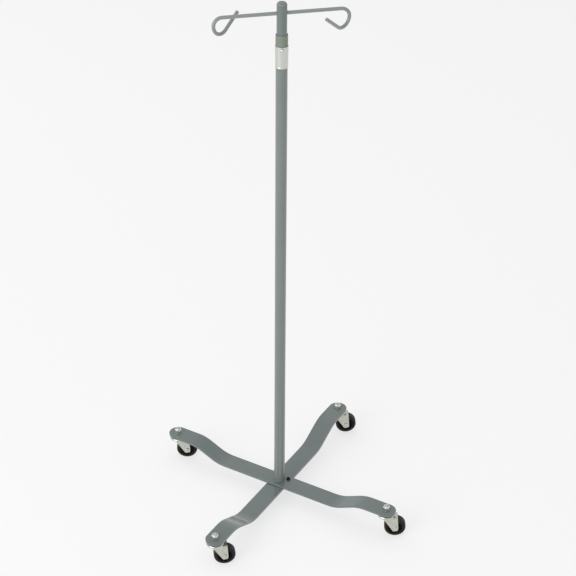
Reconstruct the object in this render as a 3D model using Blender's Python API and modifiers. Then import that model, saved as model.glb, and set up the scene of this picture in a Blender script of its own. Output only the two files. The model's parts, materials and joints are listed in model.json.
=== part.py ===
"""Mobile IV stand: a telescoping pole on a crossed flat-bar base with four swivel casters.

Metres, +Z up, the floor at Z = 0. The upper leg bar lies along X and the lower one along Y.
The pole is built on its own axis, and the whole stand is then moved so that the middle of its
footprint is at the origin.
"""

import math

import bmesh
import bpy
from mathutils import Matrix, Vector

MM = 0.001

# --- Clearances ---
GAP = 0.3 * MM               # between pieces that touch or are pressed together
RUNNING = 0.35 * MM          # radial, between pieces that slide or turn in each other

# --- Base ---
STEM_RADIUS = 289.6 * MM     # pole axis to each caster stem
BAR_WIDTH = 44.45 * MM
BAR_THICKNESS = 4.76 * MM
BAR_DROP = 28.7 * MM         # how far the middle of the upper bar lies below its ends
RAMP_FROM_STEM = 96.6 * MM   # caster stem to the middle of the sloping stretch
RAMP_ANGLE = math.radians(24.6)
BEND_RADIUS = 85.0 * MM
POLE_PATCH = 40.0 * MM       # half the length of bar that the pole and its screw take up

# --- Pole ---
OUTER_TUBE_DIAMETER = 25.4 * MM
OUTER_TUBE_LENGTH = 1121.6 * MM
INNER_TUBE_SHOWS = 110.8 * MM    # length of inner tube above the outer one when lowered
TUBE_WALL = 1.24 * MM
CAP_HEIGHT = 7.0 * MM
CAP_ROUNDING = 6.4 * MM
CAP_SPIGOT = 9.0 * MM

# --- Foot of the pole ---
PLUG_LENGTH = 30.0 * MM
POLE_BOLT_DIAMETER = 8.0 * MM
POLE_BOLT_GRIP = 26.0 * MM   # length of bolt inside the plug
HEX_HEAD_FLATS = 13.0 * MM
HEX_HEAD_HEIGHT = 5.3 * MM
BOLT_WASHER_DIAMETER = 17.0 * MM
BOLT_WASHER_THICKNESS = 1.6 * MM
SCREW_FROM_EDGE = 3.2 * MM   # screw axis to the lower bar's edge
SCREW_ACROSS = 10.0 * MM     # screw axis to the middle of the upper bar
SCREW_DIAMETER = 5.0 * MM
SCREW_HEAD_DIAMETER = 8.5 * MM
SCREW_HEAD_HEIGHT = 5.0 * MM
SCREW_SOCKET_FLATS = 4.0 * MM
SCREW_SOCKET_DEPTH = 2.5 * MM
SCREW_NUT_FLATS = 8.0 * MM
SCREW_NUT_HEIGHT = 4.0 * MM

# --- Height lock ---
SLEEVE_GRIP = 26.8 * MM      # length of sleeve around the outer tube
SLEEVE_CHAMBER = 22.0 * MM   # length of sleeve above it, around the collet's skirt
SLEEVE_TOP_WALL = 1.15 * MM
SLEEVE_FOOT_WALL = 0.55 * MM
SLEEVE_LIP = 0.3 * MM        # how far the rolled lip stands out
SLEEVE_LIP_HEIGHT = 2.6 * MM
SLEEVE_MOUTH_FLARE = 0.25 * MM
COLLET_HEAD_HEIGHT = 25.1 * MM
COLLET_WALL = 1.6 * MM
COLLET_CLEARANCE = 3.0 * MM  # collet's foot to the top of the outer tube
COLLET_SLIT = 1.6 * MM
COLLET_TRAVEL = 6.0 * MM
PIN_BELOW_TOP = 5.6 * MM     # pin centre below the sleeve's top edge
PIN_DIAMETER = 3.0 * MM
PIN_HEAD_DIAMETER = 6.4 * MM
PIN_HEAD_HEIGHT = 1.7 * MM
PIN_DIRECTION = math.radians(-60.0)

# --- Guide bush at the inner tube's foot ---
BUSH_FLANGE = 5.0 * MM
BUSH_SPIGOT = 14.0 * MM

# --- Hook rod ---
HOOK_ROD_DIAMETER = 7.9 * MM
HOOK_BELOW_TOP = 17.0 * MM   # rod centre below the inner tube's end
HOOK_DIRECTION = math.radians(41.7)
HOOK_REACH = 142.0 * MM      # pole axis to the corner of the first bend
HOOK_DROP = 61.8 * MM        # arm to the corner of the second bend
HOOK_LEAN = -5.9 * MM        # sideways shift of that corner
HOOK_TIP = (85.1 * MM, 36.6 * MM, -5.1 * MM)
HOOK_BENDS = (18.2 * MM, 19.4 * MM)

# --- Casters ---
WHEEL_DIAMETER = 50.8 * MM
WHEEL_CLEARANCE = 14.4 * MM  # top of the wheel to the underside of a bar's end
WHEEL_WIDTH = 20.0 * MM
TREAD_ROUNDING = 4.0 * MM
TYRE_DEPTH = 8.1 * MM
HUB_RIM = 3.0 * MM
HUB_WEB = 8.0 * MM
HUB_BOSS_DIAMETER = 13.0 * MM
HUB_BOSS_PROUD = 0.7 * MM    # how far the boss stands out of each side of the wheel
AXLE_DIAMETER = 6.3 * MM
AXLE_HEAD_DIAMETER = 9.6 * MM
AXLE_HEAD_HEIGHT = 1.8 * MM
TRAIL = 21.0 * MM
FORK_PLATE = 1.8 * MM
FORK_BEND = 3.0 * MM
FORK_LEADING_CORNER = -6.0 * MM
FORK_TRAILING_CORNER = 27.0 * MM
FORK_TIP_RADIUS = 8.4 * MM
FORK_TIP_BELOW_AXLE = 9.4 * MM
CROWN_DIAMETER = 36.0 * MM
CROWN_DEPTH = 10.2 * MM      # bar underside to the top of the fork's crown
RACE_DIAMETER = 40.6 * MM
RACE_SHEET = 1.6 * MM
RACE_DISH = 4.4 * MM
RACE_SKIRT = 9.1 * MM
RACE_SEAT_RADIUS = 8.0 * MM
BALL_CIRCLE_RADIUS = 13.5 * MM
BALL_RADIUS = 1.6 * MM
STEM_DIAMETER = 9.5 * MM
STEM_PROUD = 0.5 * MM
KINGPIN_DIAMETER = 8.0 * MM
KINGPIN_HEAD_DIAMETER = 13.0 * MM
KINGPIN_HEAD_HEIGHT = 1.5 * MM
STEM_NUT_FLATS = 14.3 * MM
STEM_NUT_HEIGHT = 7.6 * MM
NUT_COLLAR_DIAMETER = 13.0 * MM   # the round collar that holds the nut's nylon ring
NUT_COLLAR_HEIGHT = 3.0 * MM
STEM_WASHER_DIAMETER = 14.8 * MM
STEM_WASHER_THICKNESS = 1.2 * MM

# Each leg's direction from the pole, and the direction its caster trails at rest, in degrees.
LEGS = {
    "right": (0.0, 29.0),
    "back": (90.0, 33.0),
    "left": (180.0, 31.0),
    "front": (270.0, 38.0),
}

# --- Facets of round pieces ---
TUBE_SIDES = 36
CROWN_SIDES = 20
WHEEL_SIDES = 28
SMALL_SIDES = 16
PIN_SIDES = 12

# --- Sizes that follow from those above ---
CASTER_HEIGHT = WHEEL_DIAMETER + WHEEL_CLEARANCE
RAMP_MIDDLE = STEM_RADIUS - RAMP_FROM_STEM
SCREW_PLACE = (BAR_WIDTH / 2 - SCREW_FROM_EDGE, SCREW_ACROSS)
OUTER_TUBE_BORE = OUTER_TUBE_DIAMETER - 2 * TUBE_WALL
INNER_TUBE_DIAMETER = OUTER_TUBE_BORE - 2 * RUNNING
INNER_TUBE_BORE = INNER_TUBE_DIAMETER - 2 * TUBE_WALL
SLEEVE_BORE = OUTER_TUBE_DIAMETER + 2 * GAP
SLEEVE_LENGTH = SLEEVE_GRIP + SLEEVE_CHAMBER
SLEEVE_TOP_DIAMETER = SLEEVE_BORE + 2 * SLEEVE_TOP_WALL
SLEEVE_FOOT_DIAMETER = SLEEVE_BORE + 2 * SLEEVE_FOOT_WALL
COLLET_BORE = INNER_TUBE_DIAMETER + 2 * RUNNING
COLLET_HEAD_DIAMETER = COLLET_BORE + 2 * COLLET_WALL
COLLET_SKIRT = SLEEVE_CHAMBER - COLLET_CLEARANCE
HUB_BOSS_WIDTH = WHEEL_WIDTH + 2 * HUB_BOSS_PROUD

# --- Heights that follow ---
BAR_END_TOP = CASTER_HEIGHT + BAR_THICKNESS
UPPER_BAR_TOP = BAR_END_TOP - BAR_DROP
LOWER_BAR_TOP = UPPER_BAR_TOP - BAR_THICKNESS - GAP
LOWER_BAR_FOOT = LOWER_BAR_TOP - BAR_THICKNESS
POLE_FOOT = UPPER_BAR_TOP + GAP
OUTER_TUBE_TOP = POLE_FOOT + OUTER_TUBE_LENGTH
BUSH_FOOT = POLE_FOOT + PLUG_LENGTH + GAP
INNER_TUBE_FOOT = BUSH_FOOT + BUSH_FLANGE + GAP
INNER_TUBE_TOP = OUTER_TUBE_TOP + INNER_TUBE_SHOWS
SLEEVE_FOOT = OUTER_TUBE_TOP - SLEEVE_GRIP
SLEEVE_TOP = SLEEVE_FOOT + SLEEVE_LENGTH
COLLET_SEAT = SLEEVE_TOP + GAP
AXLE_HEIGHT = WHEEL_DIAMETER / 2 * math.cos(math.pi / WHEEL_SIDES)

# --- Finishes: sRGB colour, roughness, metallic ---
PAINT = ("808a86", 0.38, 0.0)
CHROME = ("d2d4cf", 0.22, 1.0)
ZINC = ("c4c7be", 0.35, 1.0)
COLLET_PLASTIC = ("8a8f84", 0.55, 0.0)
CAP_PLASTIC = ("87958e", 0.5, 0.0)
BLACK_OXIDE = ("1d1e1f", 0.45, 0.6)
STEEL = ("a9aaa6", 0.4, 1.0)
RUBBER = ("1c1d1b", 0.7, 0.0)
BLACK_PLASTIC = ("141414", 0.5, 0.0)
NYLON = ("d8d6cc", 0.6, 0.0)


def clear_scene():
    """Remove every object that the file opened with."""
    for item in list(bpy.data.objects):
        bpy.data.objects.remove(item, do_unlink=True)


def new_collection(name):
    """Return a new collection linked to the scene."""
    group = bpy.data.collections.new(name)
    bpy.context.scene.collection.children.link(group)
    return group


def linear_colour(code):
    """Return the linear RGBA of an sRGB hex code."""
    channels = [int(code[i:i + 2], 16) / 255 for i in (0, 2, 4)]
    return [c / 12.92 if c <= 0.04045 else ((c + 0.055) / 1.055) ** 2.4 for c in channels] + [1.0]


def finish(item, look):
    """Give an object its own Principled material."""
    colour, roughness, metallic = look
    made = bpy.data.materials.new(item.name)
    made.use_nodes = True
    shader = made.node_tree.nodes["Principled BSDF"]
    shader.inputs["Base Color"].default_value = linear_colour(colour)
    shader.inputs["Roughness"].default_value = roughness
    shader.inputs["Metallic"].default_value = metallic
    item.data.materials.clear()
    item.data.materials.append(made)
    return item


def empty(name, parent, location=(0, 0, 0), turn=0.0):
    """Return an empty that carries pieces, turned about Z."""
    item = bpy.data.objects.new(name, None)
    parts.objects.link(item)
    item.parent = parent
    item.location = location
    item.rotation_euler = (0, 0, turn)
    return item


def put(item, parent, location=(0, 0, 0), rotation=(0, 0, 0)):
    """Place an object under its parent."""
    item.parent = parent
    item.location = location
    item.rotation_euler = rotation
    return item


def rounded(points, radii, steps, closed=False):
    """Return the polyline through points with each corner replaced by an arc of its radius."""
    corners = [Vector(p) for p in points]
    path = []
    for i, corner in enumerate(corners):
        is_end = not closed and i in (0, len(corners) - 1)
        if is_end or radii[i] == 0:
            path.append(corner)
            continue
        back = (corners[i - 1] - corner).normalized()
        ahead = (corners[(i + 1) % len(corners)] - corner).normalized()
        half = back.angle(ahead) / 2
        centre = corner + (back + ahead).normalized() * (radii[i] / math.sin(half))
        start = corner + back * (radii[i] / math.tan(half)) - centre
        end = corner + ahead * (radii[i] / math.tan(half)) - centre
        sweep = math.pi - 2 * half
        for k in range(steps + 1):
            angle = sweep * k / steps
            arm = start * math.sin(sweep - angle) + end * math.sin(angle)
            path.append(centre + arm / math.sin(sweep))
    return path


def turned(name, profile, sides, group=None):
    """Return a solid of revolution about Z from (radius, height) points.

    The profile runs down the outer side. It starts and ends on the axis, or else it is a
    closed loop and the solid is a ring.
    """
    mesh = bpy.data.meshes.new(name)
    count = len(profile)
    edges = [(i, i + 1) for i in range(count - 1)]
    if profile[0][0] > 0:
        edges.append((count - 1, 0))
    mesh.from_pydata([(r, 0, z) for r, z in profile], edges, [])
    item = bpy.data.objects.new(name, mesh)
    (group or parts).objects.link(item)
    screw = item.modifiers.new("Turn", "SCREW")
    screw.steps = sides
    screw.render_steps = sides
    screw.use_smooth_shade = True
    screw.use_merge_vertices = True
    screw.merge_threshold = 0.01 * MM
    return item


def ring(name, outer, inner, foot, top, sides):
    """Return a plain tube or washer."""
    return turned(name, [(outer, top), (outer, foot), (inner, foot), (inner, top)], sides)


def solid_from_curve(name, curve, rotation=(0, 0, 0), group=None):
    """Return a closed mesh object made from a filled or bevelled curve."""
    guide = bpy.data.objects.new(name + "_curve", curve)
    cutters.objects.link(guide)
    guide.rotation_euler = rotation
    bpy.context.view_layer.update()
    depsgraph = bpy.context.evaluated_depsgraph_get()
    mesh = bpy.data.meshes.new_from_object(guide.evaluated_get(depsgraph))
    mesh.transform(guide.matrix_world)
    welded = bmesh.new()
    welded.from_mesh(mesh)
    bmesh.ops.remove_doubles(welded, verts=welded.verts, dist=0.01 * MM)
    bmesh.ops.recalc_face_normals(welded, faces=welded.faces)
    welded.to_mesh(mesh)
    welded.free()
    mesh.shade_smooth()
    mesh.set_sharp_from_angle(angle=math.radians(35))
    mesh.name = name
    bpy.data.objects.remove(guide, do_unlink=True)
    item = bpy.data.objects.new(name, mesh)
    (group or parts).objects.link(item)
    return item


def flat_solid(name, outline, half_depth, rotation=(0, 0, 0), group=None):
    """Return a flat outline given half its depth on each side of its own plane."""
    curve = bpy.data.curves.new(name, "CURVE")
    curve.dimensions = "2D"
    curve.fill_mode = "BOTH"
    curve.extrude = half_depth
    spline = curve.splines.new("POLY")
    spline.points.add(len(outline) - 1)
    for point, place in zip(spline.points, outline):
        point.co = (place[0], place[1], 0, 1)
    spline.use_cyclic_u = True
    return solid_from_curve(name, curve, rotation, group)


def prism(name, flats, foot, top, group=None):
    """Return an upright hexagonal prism of a size across its flats."""
    corner = flats / 2 / math.cos(math.pi / 6)
    return cylinder(name, corner, foot, top, 6, group)


def cylinder(name, radius, foot, top, sides, group=None):
    """Return an upright cylinder."""
    mesh = bpy.data.meshes.new(name)
    shape = bmesh.new()
    middle = Matrix.Translation((0, 0, (foot + top) / 2))
    bmesh.ops.create_cone(shape, cap_ends=True, segments=sides, radius1=radius, radius2=radius,
                          depth=top - foot, matrix=middle)
    shape.to_mesh(mesh)
    shape.free()
    item = bpy.data.objects.new(name, mesh)
    (group or parts).objects.link(item)
    return item


def box(name, size, group=None):
    """Return a box centred on its own origin."""
    mesh = bpy.data.meshes.new(name)
    shape = bmesh.new()
    bmesh.ops.create_cube(shape, size=1.0, matrix=Matrix.Diagonal((*size, 1.0)))
    shape.to_mesh(mesh)
    shape.free()
    item = bpy.data.objects.new(name, mesh)
    (group or parts).objects.link(item)
    return item


def combine(item, tool, operation):
    """Cut or join an object with a tool that stays hidden among the cutters."""
    tool.hide_render = True
    tool.hide_viewport = False
    tool.display_type = "WIRE"
    boolean = item.modifiers.new(tool.name, "BOOLEAN")
    boolean.object = tool
    boolean.operation = operation
    boolean.solver = "EXACT"
    return item


def drill(item, name, radius, place, depth, sides=SMALL_SIDES, rotation=(0, 0, 0)):
    """Cut a round hole of a full depth through an object, centred on a place."""
    tool = cylinder(name, radius, -depth / 2, depth / 2, sides, cutters)
    put(tool, item.parent, place, rotation)
    return combine(item, tool, "DIFFERENCE")


def thicken(path, thickness):
    """Return the outline of a strip of a thickness that follows a flat path."""
    upper = []
    lower = []
    last = len(path) - 1
    for i, point in enumerate(path):
        along = (path[min(i + 1, last)] - path[max(i - 1, 0)]).normalized()
        across = Vector((-along.y, along.x)) * thickness / 2
        upper.append(point + across)
        lower.append(point - across)
    return lower + upper[::-1]


def stadium(half_length, radius, steps=12):
    """Return an outline with straight sides and full round ends."""
    outline = []
    for end in (1, -1):
        for k in range(steps + 1):
            angle = math.pi * k / steps - math.pi / 2
            outline.append((end * (half_length + radius * math.cos(angle)),
                            end * radius * math.sin(angle)))
    return outline


def leg_bar(name, middle_top, turn, frame):
    """Make a flat bar that rises to the caster height at both ends."""
    middle = middle_top - BAR_THICKNESS / 2
    end = BAR_END_TOP - BAR_THICKNESS / 2
    run = (end - middle) / math.tan(RAMP_ANGLE) / 2
    reach = STEM_RADIUS + BAR_WIDTH
    right = [(POLE_PATCH, middle), (RAMP_MIDDLE - run, middle), (RAMP_MIDDLE + run, end),
             (reach, end)]
    left = [(-x, z) for x, z in reversed(right)]
    radii = [0, BEND_RADIUS, BEND_RADIUS, 0, 0, BEND_RADIUS, BEND_RADIUS, 0]
    strip = thicken(rounded(left + right, radii, 6), BAR_THICKNESS)
    bar = flat_solid(name, strip, BAR_WIDTH, (math.pi / 2, 0, 0))
    put(bar, frame, rotation=(0, 0, turn))
    plan = flat_solid(name + "_plan", stadium(STEM_RADIUS, BAR_WIDTH / 2), CASTER_HEIGHT * 2,
                      group=cutters)
    put(plan, frame, rotation=(0, 0, turn))
    combine(bar, plan, "INTERSECT")
    for side in (1, -1):
        place = (side * STEM_RADIUS * math.cos(turn), side * STEM_RADIUS * math.sin(turn), end)
        drill(bar, f"{name}_stem_hole_{side}", STEM_DIAMETER / 2 + GAP, place, BAR_WIDTH)
    drill(bar, name + "_bolt_hole", POLE_BOLT_DIAMETER / 2 + GAP, (0, 0, middle), BAR_WIDTH)
    drill(bar, name + "_screw_hole", SCREW_DIAMETER / 2 + GAP, (*SCREW_PLACE, middle), BAR_WIDTH)
    return finish(bar, PAINT)


def pole_foot(frame):
    """Make the plug, bolt and washer that hold the pole, and the screw that locks the cross."""
    shank = POLE_BOLT_DIAMETER / 2
    plug = ring("pole_plug", OUTER_TUBE_BORE / 2 - GAP, shank + GAP, POLE_FOOT,
                POLE_FOOT + PLUG_LENGTH, TUBE_SIDES)
    finish(put(plug, frame), STEEL)

    washer_top = LOWER_BAR_FOOT - GAP
    washer_foot = washer_top - BOLT_WASHER_THICKNESS
    washer = ring("pole_bolt_washer", BOLT_WASHER_DIAMETER / 2, shank + GAP, washer_foot,
                  washer_top, SMALL_SIDES)
    finish(put(washer, frame), ZINC)

    head_top = washer_foot - GAP
    head_foot = head_top - HEX_HEAD_HEIGHT
    bolt = prism("pole_bolt", HEX_HEAD_FLATS, head_foot, head_top)
    put(bolt, frame)
    thread = cylinder("pole_bolt_shank", shank, head_foot + HEX_HEAD_HEIGHT / 2,
                      POLE_FOOT + POLE_BOLT_GRIP, SMALL_SIDES, cutters)
    put(thread, frame)
    finish(combine(bolt, thread, "UNION"), ZINC)

    radius = SCREW_DIAMETER / 2
    seat = UPPER_BAR_TOP + GAP
    nut_top = LOWER_BAR_FOOT - GAP
    nut_foot = nut_top - SCREW_NUT_HEIGHT
    head = SCREW_HEAD_DIAMETER / 2
    screw = turned("locating_screw", [
        (0, seat + SCREW_HEAD_HEIGHT), (head - GAP, seat + SCREW_HEAD_HEIGHT),
        (head, seat + SCREW_HEAD_HEIGHT - GAP), (head, seat), (radius, seat),
        (radius, nut_foot - GAP), (0, nut_foot - GAP)], SMALL_SIDES)
    put(screw, frame, (*SCREW_PLACE, 0))
    socket = prism("locating_screw_socket", SCREW_SOCKET_FLATS,
                   seat + SCREW_HEAD_HEIGHT - SCREW_SOCKET_DEPTH,
                   seat + SCREW_HEAD_HEIGHT * 2, cutters)
    put(socket, frame, (*SCREW_PLACE, 0))
    finish(combine(screw, socket, "DIFFERENCE"), BLACK_OXIDE)

    nut = prism("locating_nut", SCREW_NUT_FLATS, nut_foot, nut_top)
    put(nut, frame, (*SCREW_PLACE, 0))
    middle = (*SCREW_PLACE, (nut_foot + nut_top) / 2)
    finish(drill(nut, "locating_nut_bore", radius + GAP, middle, SCREW_NUT_HEIGHT * 3), ZINC)


def outer_pole(frame):
    """Make the fixed tube with its tapered lock sleeve and the sleeve's pin."""
    tube = ring("outer_tube", OUTER_TUBE_DIAMETER / 2, OUTER_TUBE_BORE / 2, POLE_FOOT,
                OUTER_TUBE_TOP, TUBE_SIDES)
    finish(put(tube, frame), PAINT)

    top = SLEEVE_TOP_DIAMETER / 2
    foot = SLEEVE_FOOT_DIAMETER / 2
    lip = foot + SLEEVE_LIP
    bore = SLEEVE_BORE / 2
    mouth = bore + SLEEVE_MOUTH_FLARE
    sleeve = turned("lock_sleeve", [
        (top - GAP, SLEEVE_TOP), (top, SLEEVE_TOP - 2 * GAP),
        (foot, SLEEVE_FOOT + SLEEVE_LIP_HEIGHT + 2 * SLEEVE_LIP),
        (lip, SLEEVE_FOOT + SLEEVE_LIP_HEIGHT), (lip, SLEEVE_FOOT + 2 * SLEEVE_LIP),
        (foot, SLEEVE_FOOT), (bore, SLEEVE_FOOT), (bore, OUTER_TUBE_TOP + GAP),
        (mouth, SLEEVE_TOP)], TUBE_SIDES)
    put(sleeve, frame)

    height = SLEEVE_TOP - PIN_BELOW_TOP
    outward = (0, math.pi / 2, PIN_DIRECTION)
    aim = Vector((math.cos(PIN_DIRECTION), math.sin(PIN_DIRECTION), 0))
    drill(sleeve, "lock_sleeve_pin_hole", PIN_DIAMETER / 2 + GAP, aim * top + Vector((0, 0, height)),
          SLEEVE_TOP_DIAMETER / 2, rotation=outward)
    finish(sleeve, CHROME)

    shank = PIN_DIAMETER / 2
    head = PIN_HEAD_DIAMETER / 2
    start = INNER_TUBE_DIAMETER / 2 + 2 * GAP
    seat = top + GAP
    dome = [(head * math.sin(math.radians(a)), seat + PIN_HEAD_HEIGHT * math.cos(math.radians(a)))
            for a in (25, 45, 65, 85)]
    pin = turned("lock_pin", [(0, seat + PIN_HEAD_HEIGHT), *dome, (head, seat), (shank, seat),
                              (shank, start), (0, start)], PIN_SIDES)
    finish(put(pin, frame, (0, 0, height), outward), CHROME)


def lock_collet(frame):
    """Make the split collet whose head is lifted to free the inner tube."""
    bore = COLLET_BORE / 2
    head = COLLET_HEAD_DIAMETER / 2
    top = COLLET_SEAT + COLLET_HEAD_HEIGHT
    foot = COLLET_SEAT - COLLET_SKIRT
    skirt_top = SLEEVE_BORE / 2 + SLEEVE_MOUTH_FLARE - RUNNING
    skirt_foot = SLEEVE_BORE / 2 - RUNNING
    shoulder = COLLET_WALL - GAP
    collet = turned("lock_collet", [
        (head - shoulder, top), (head - shoulder / 3, top - shoulder / 3), (head, top - shoulder),
        (head, COLLET_SEAT), (skirt_top, COLLET_SEAT - GAP), (skirt_foot, foot), (bore, foot),
        (bore, top)], TUBE_SIDES)
    put(collet, frame)

    height = SLEEVE_TOP - PIN_BELOW_TOP
    aim = Vector((math.cos(PIN_DIRECTION), math.sin(PIN_DIRECTION), 0))
    full = top - foot
    slit = box("lock_collet_slit", (head * 2, COLLET_SLIT, full * 2), cutters)
    put(slit, frame, -aim * head * 1.4 + Vector((0, 0, foot + full / 2)), (0, 0, PIN_DIRECTION))
    combine(collet, slit, "DIFFERENCE")
    width = PIN_DIAMETER + 2 * GAP
    slot = box("lock_collet_pin_slot", (head, width, width + COLLET_TRAVEL), cutters)
    middle = height - COLLET_TRAVEL / 2
    put(slot, frame, aim * head + Vector((0, 0, middle)), (0, 0, PIN_DIRECTION))
    return finish(combine(collet, slot, "DIFFERENCE"), COLLET_PLASTIC)


def guide_bush(frame):
    """Make the bush that carries the inner tube's foot and slides in the outer tube."""
    flange = OUTER_TUBE_BORE / 2 - RUNNING
    spigot = INNER_TUBE_BORE / 2 - RUNNING
    flange_top = BUSH_FOOT + BUSH_FLANGE
    bush = turned("guide_bush", [
        (0, flange_top + BUSH_SPIGOT), (spigot - GAP, flange_top + BUSH_SPIGOT),
        (spigot, flange_top + BUSH_SPIGOT - GAP), (spigot, flange_top), (flange, flange_top),
        (flange, BUSH_FOOT), (0, BUSH_FOOT)], TUBE_SIDES)
    return finish(put(bush, frame), NYLON)


def hook_path():
    """Return the hook rod's centre line, one hook made by half a turn of the other."""
    one = [(HOOK_REACH, 0, 0), (HOOK_REACH, -HOOK_LEAN, -HOOK_DROP),
           (HOOK_TIP[0], -HOOK_TIP[1], HOOK_TIP[2])]
    other = [(-x, -y, z) for x, y, z in reversed(one)]
    radii = [0, HOOK_BENDS[1], HOOK_BENDS[0], HOOK_BENDS[0], HOOK_BENDS[1], 0]
    return rounded(other + one, radii, 8)


def inner_pole(frame):
    """Make the raised tube with its hook rod and end cap."""
    rod_height = INNER_TUBE_TOP - HOOK_BELOW_TOP
    tube = ring("inner_tube", INNER_TUBE_DIAMETER / 2, INNER_TUBE_BORE / 2, INNER_TUBE_FOOT,
                INNER_TUBE_TOP, TUBE_SIDES)
    put(tube, frame)
    drill(tube, "inner_tube_rod_hole", HOOK_ROD_DIAMETER / 2 + GAP, (0, 0, rod_height),
          INNER_TUBE_DIAMETER * 2, rotation=(0, math.pi / 2, HOOK_DIRECTION))
    finish(tube, PAINT)

    curve = bpy.data.curves.new("hook_rod", "CURVE")
    curve.dimensions = "3D"
    curve.fill_mode = "FULL"
    curve.bevel_depth = HOOK_ROD_DIAMETER / 2
    curve.bevel_resolution = 3
    curve.use_fill_caps = True
    path = hook_path()
    spline = curve.splines.new("POLY")
    spline.points.add(len(path) - 1)
    for point, place in zip(spline.points, path):
        point.co = (*place, 1)
    rod = solid_from_curve("hook_rod", curve)
    finish(put(rod, frame, (0, 0, rod_height), (0, 0, HOOK_DIRECTION)), PAINT)

    outer = INNER_TUBE_DIAMETER / 2
    spigot = INNER_TUBE_BORE / 2 - GAP
    seat = INNER_TUBE_TOP + GAP
    dome = rounded([(0, CAP_HEIGHT), (outer, CAP_HEIGHT), (outer, 0)], [0, CAP_ROUNDING, 0], 4)
    cap = turned("top_cap", [(r, seat + z) for r, z in dome] + [
        (spigot, seat), (spigot, seat - CAP_SPIGOT), (0, seat - CAP_SPIGOT)], TUBE_SIDES)
    return finish(put(cap, frame), CAP_PLASTIC)


def caster_stem(leg, frame):
    """Make the stem with its dished upper race and riveted kingpin, its washer and lock nut."""
    stem = STEM_DIAMETER / 2
    rim = RACE_DIAMETER / 2
    pin = KINGPIN_DIAMETER / 2
    pin_head = KINGPIN_HEAD_DIAMETER / 2
    seat = -GAP
    washer_foot = BAR_THICKNESS + GAP
    nut_foot = washer_foot + STEM_WASHER_THICKNESS + GAP
    hex_top = nut_foot + STEM_NUT_HEIGHT
    nut_top = hex_top + NUT_COLLAR_HEIGHT
    stem_top = nut_top + STEM_PROUD
    edge = rim - RACE_SHEET
    crown_foot = -CROWN_DEPTH - FORK_PLATE - GAP
    piece = turned(f"caster_stem_{leg}", [
        (0, stem_top), (stem - GAP, stem_top), (stem, stem_top - GAP), (stem, seat),
        (RACE_SEAT_RADIUS, seat), (edge, seat - RACE_DISH), (rim, seat - RACE_DISH - RACE_SHEET),
        (rim, -RACE_SKIRT), (edge, -RACE_SKIRT), (edge - GAP, seat - RACE_DISH - 1.5 * RACE_SHEET),
        (RACE_SEAT_RADIUS, seat - RACE_SHEET), (pin, seat - RACE_SHEET), (pin, crown_foot - GAP),
        (pin_head, crown_foot - GAP), (pin_head, crown_foot - GAP - KINGPIN_HEAD_HEIGHT),
        (0, crown_foot - GAP - KINGPIN_HEAD_HEIGHT)], CROWN_SIDES)
    finish(put(piece, frame), ZINC)

    washer = ring(f"stem_washer_{leg}", STEM_WASHER_DIAMETER / 2, stem + GAP, washer_foot,
                  washer_foot + STEM_WASHER_THICKNESS, SMALL_SIDES)
    finish(put(washer, frame), ZINC)

    nut = prism(f"stem_nut_{leg}", STEM_NUT_FLATS, nut_foot, hex_top)
    put(nut, frame)
    collar = cylinder(f"stem_nut_{leg}_collar", NUT_COLLAR_DIAMETER / 2,
                      (nut_foot + hex_top) / 2, nut_top, SMALL_SIDES, cutters)
    put(collar, frame)
    combine(nut, collar, "UNION")
    drill(nut, f"stem_nut_{leg}_bore", stem + GAP, (0, 0, hex_top), STEM_NUT_HEIGHT * 4)
    return finish(nut, ZINC)


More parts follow.
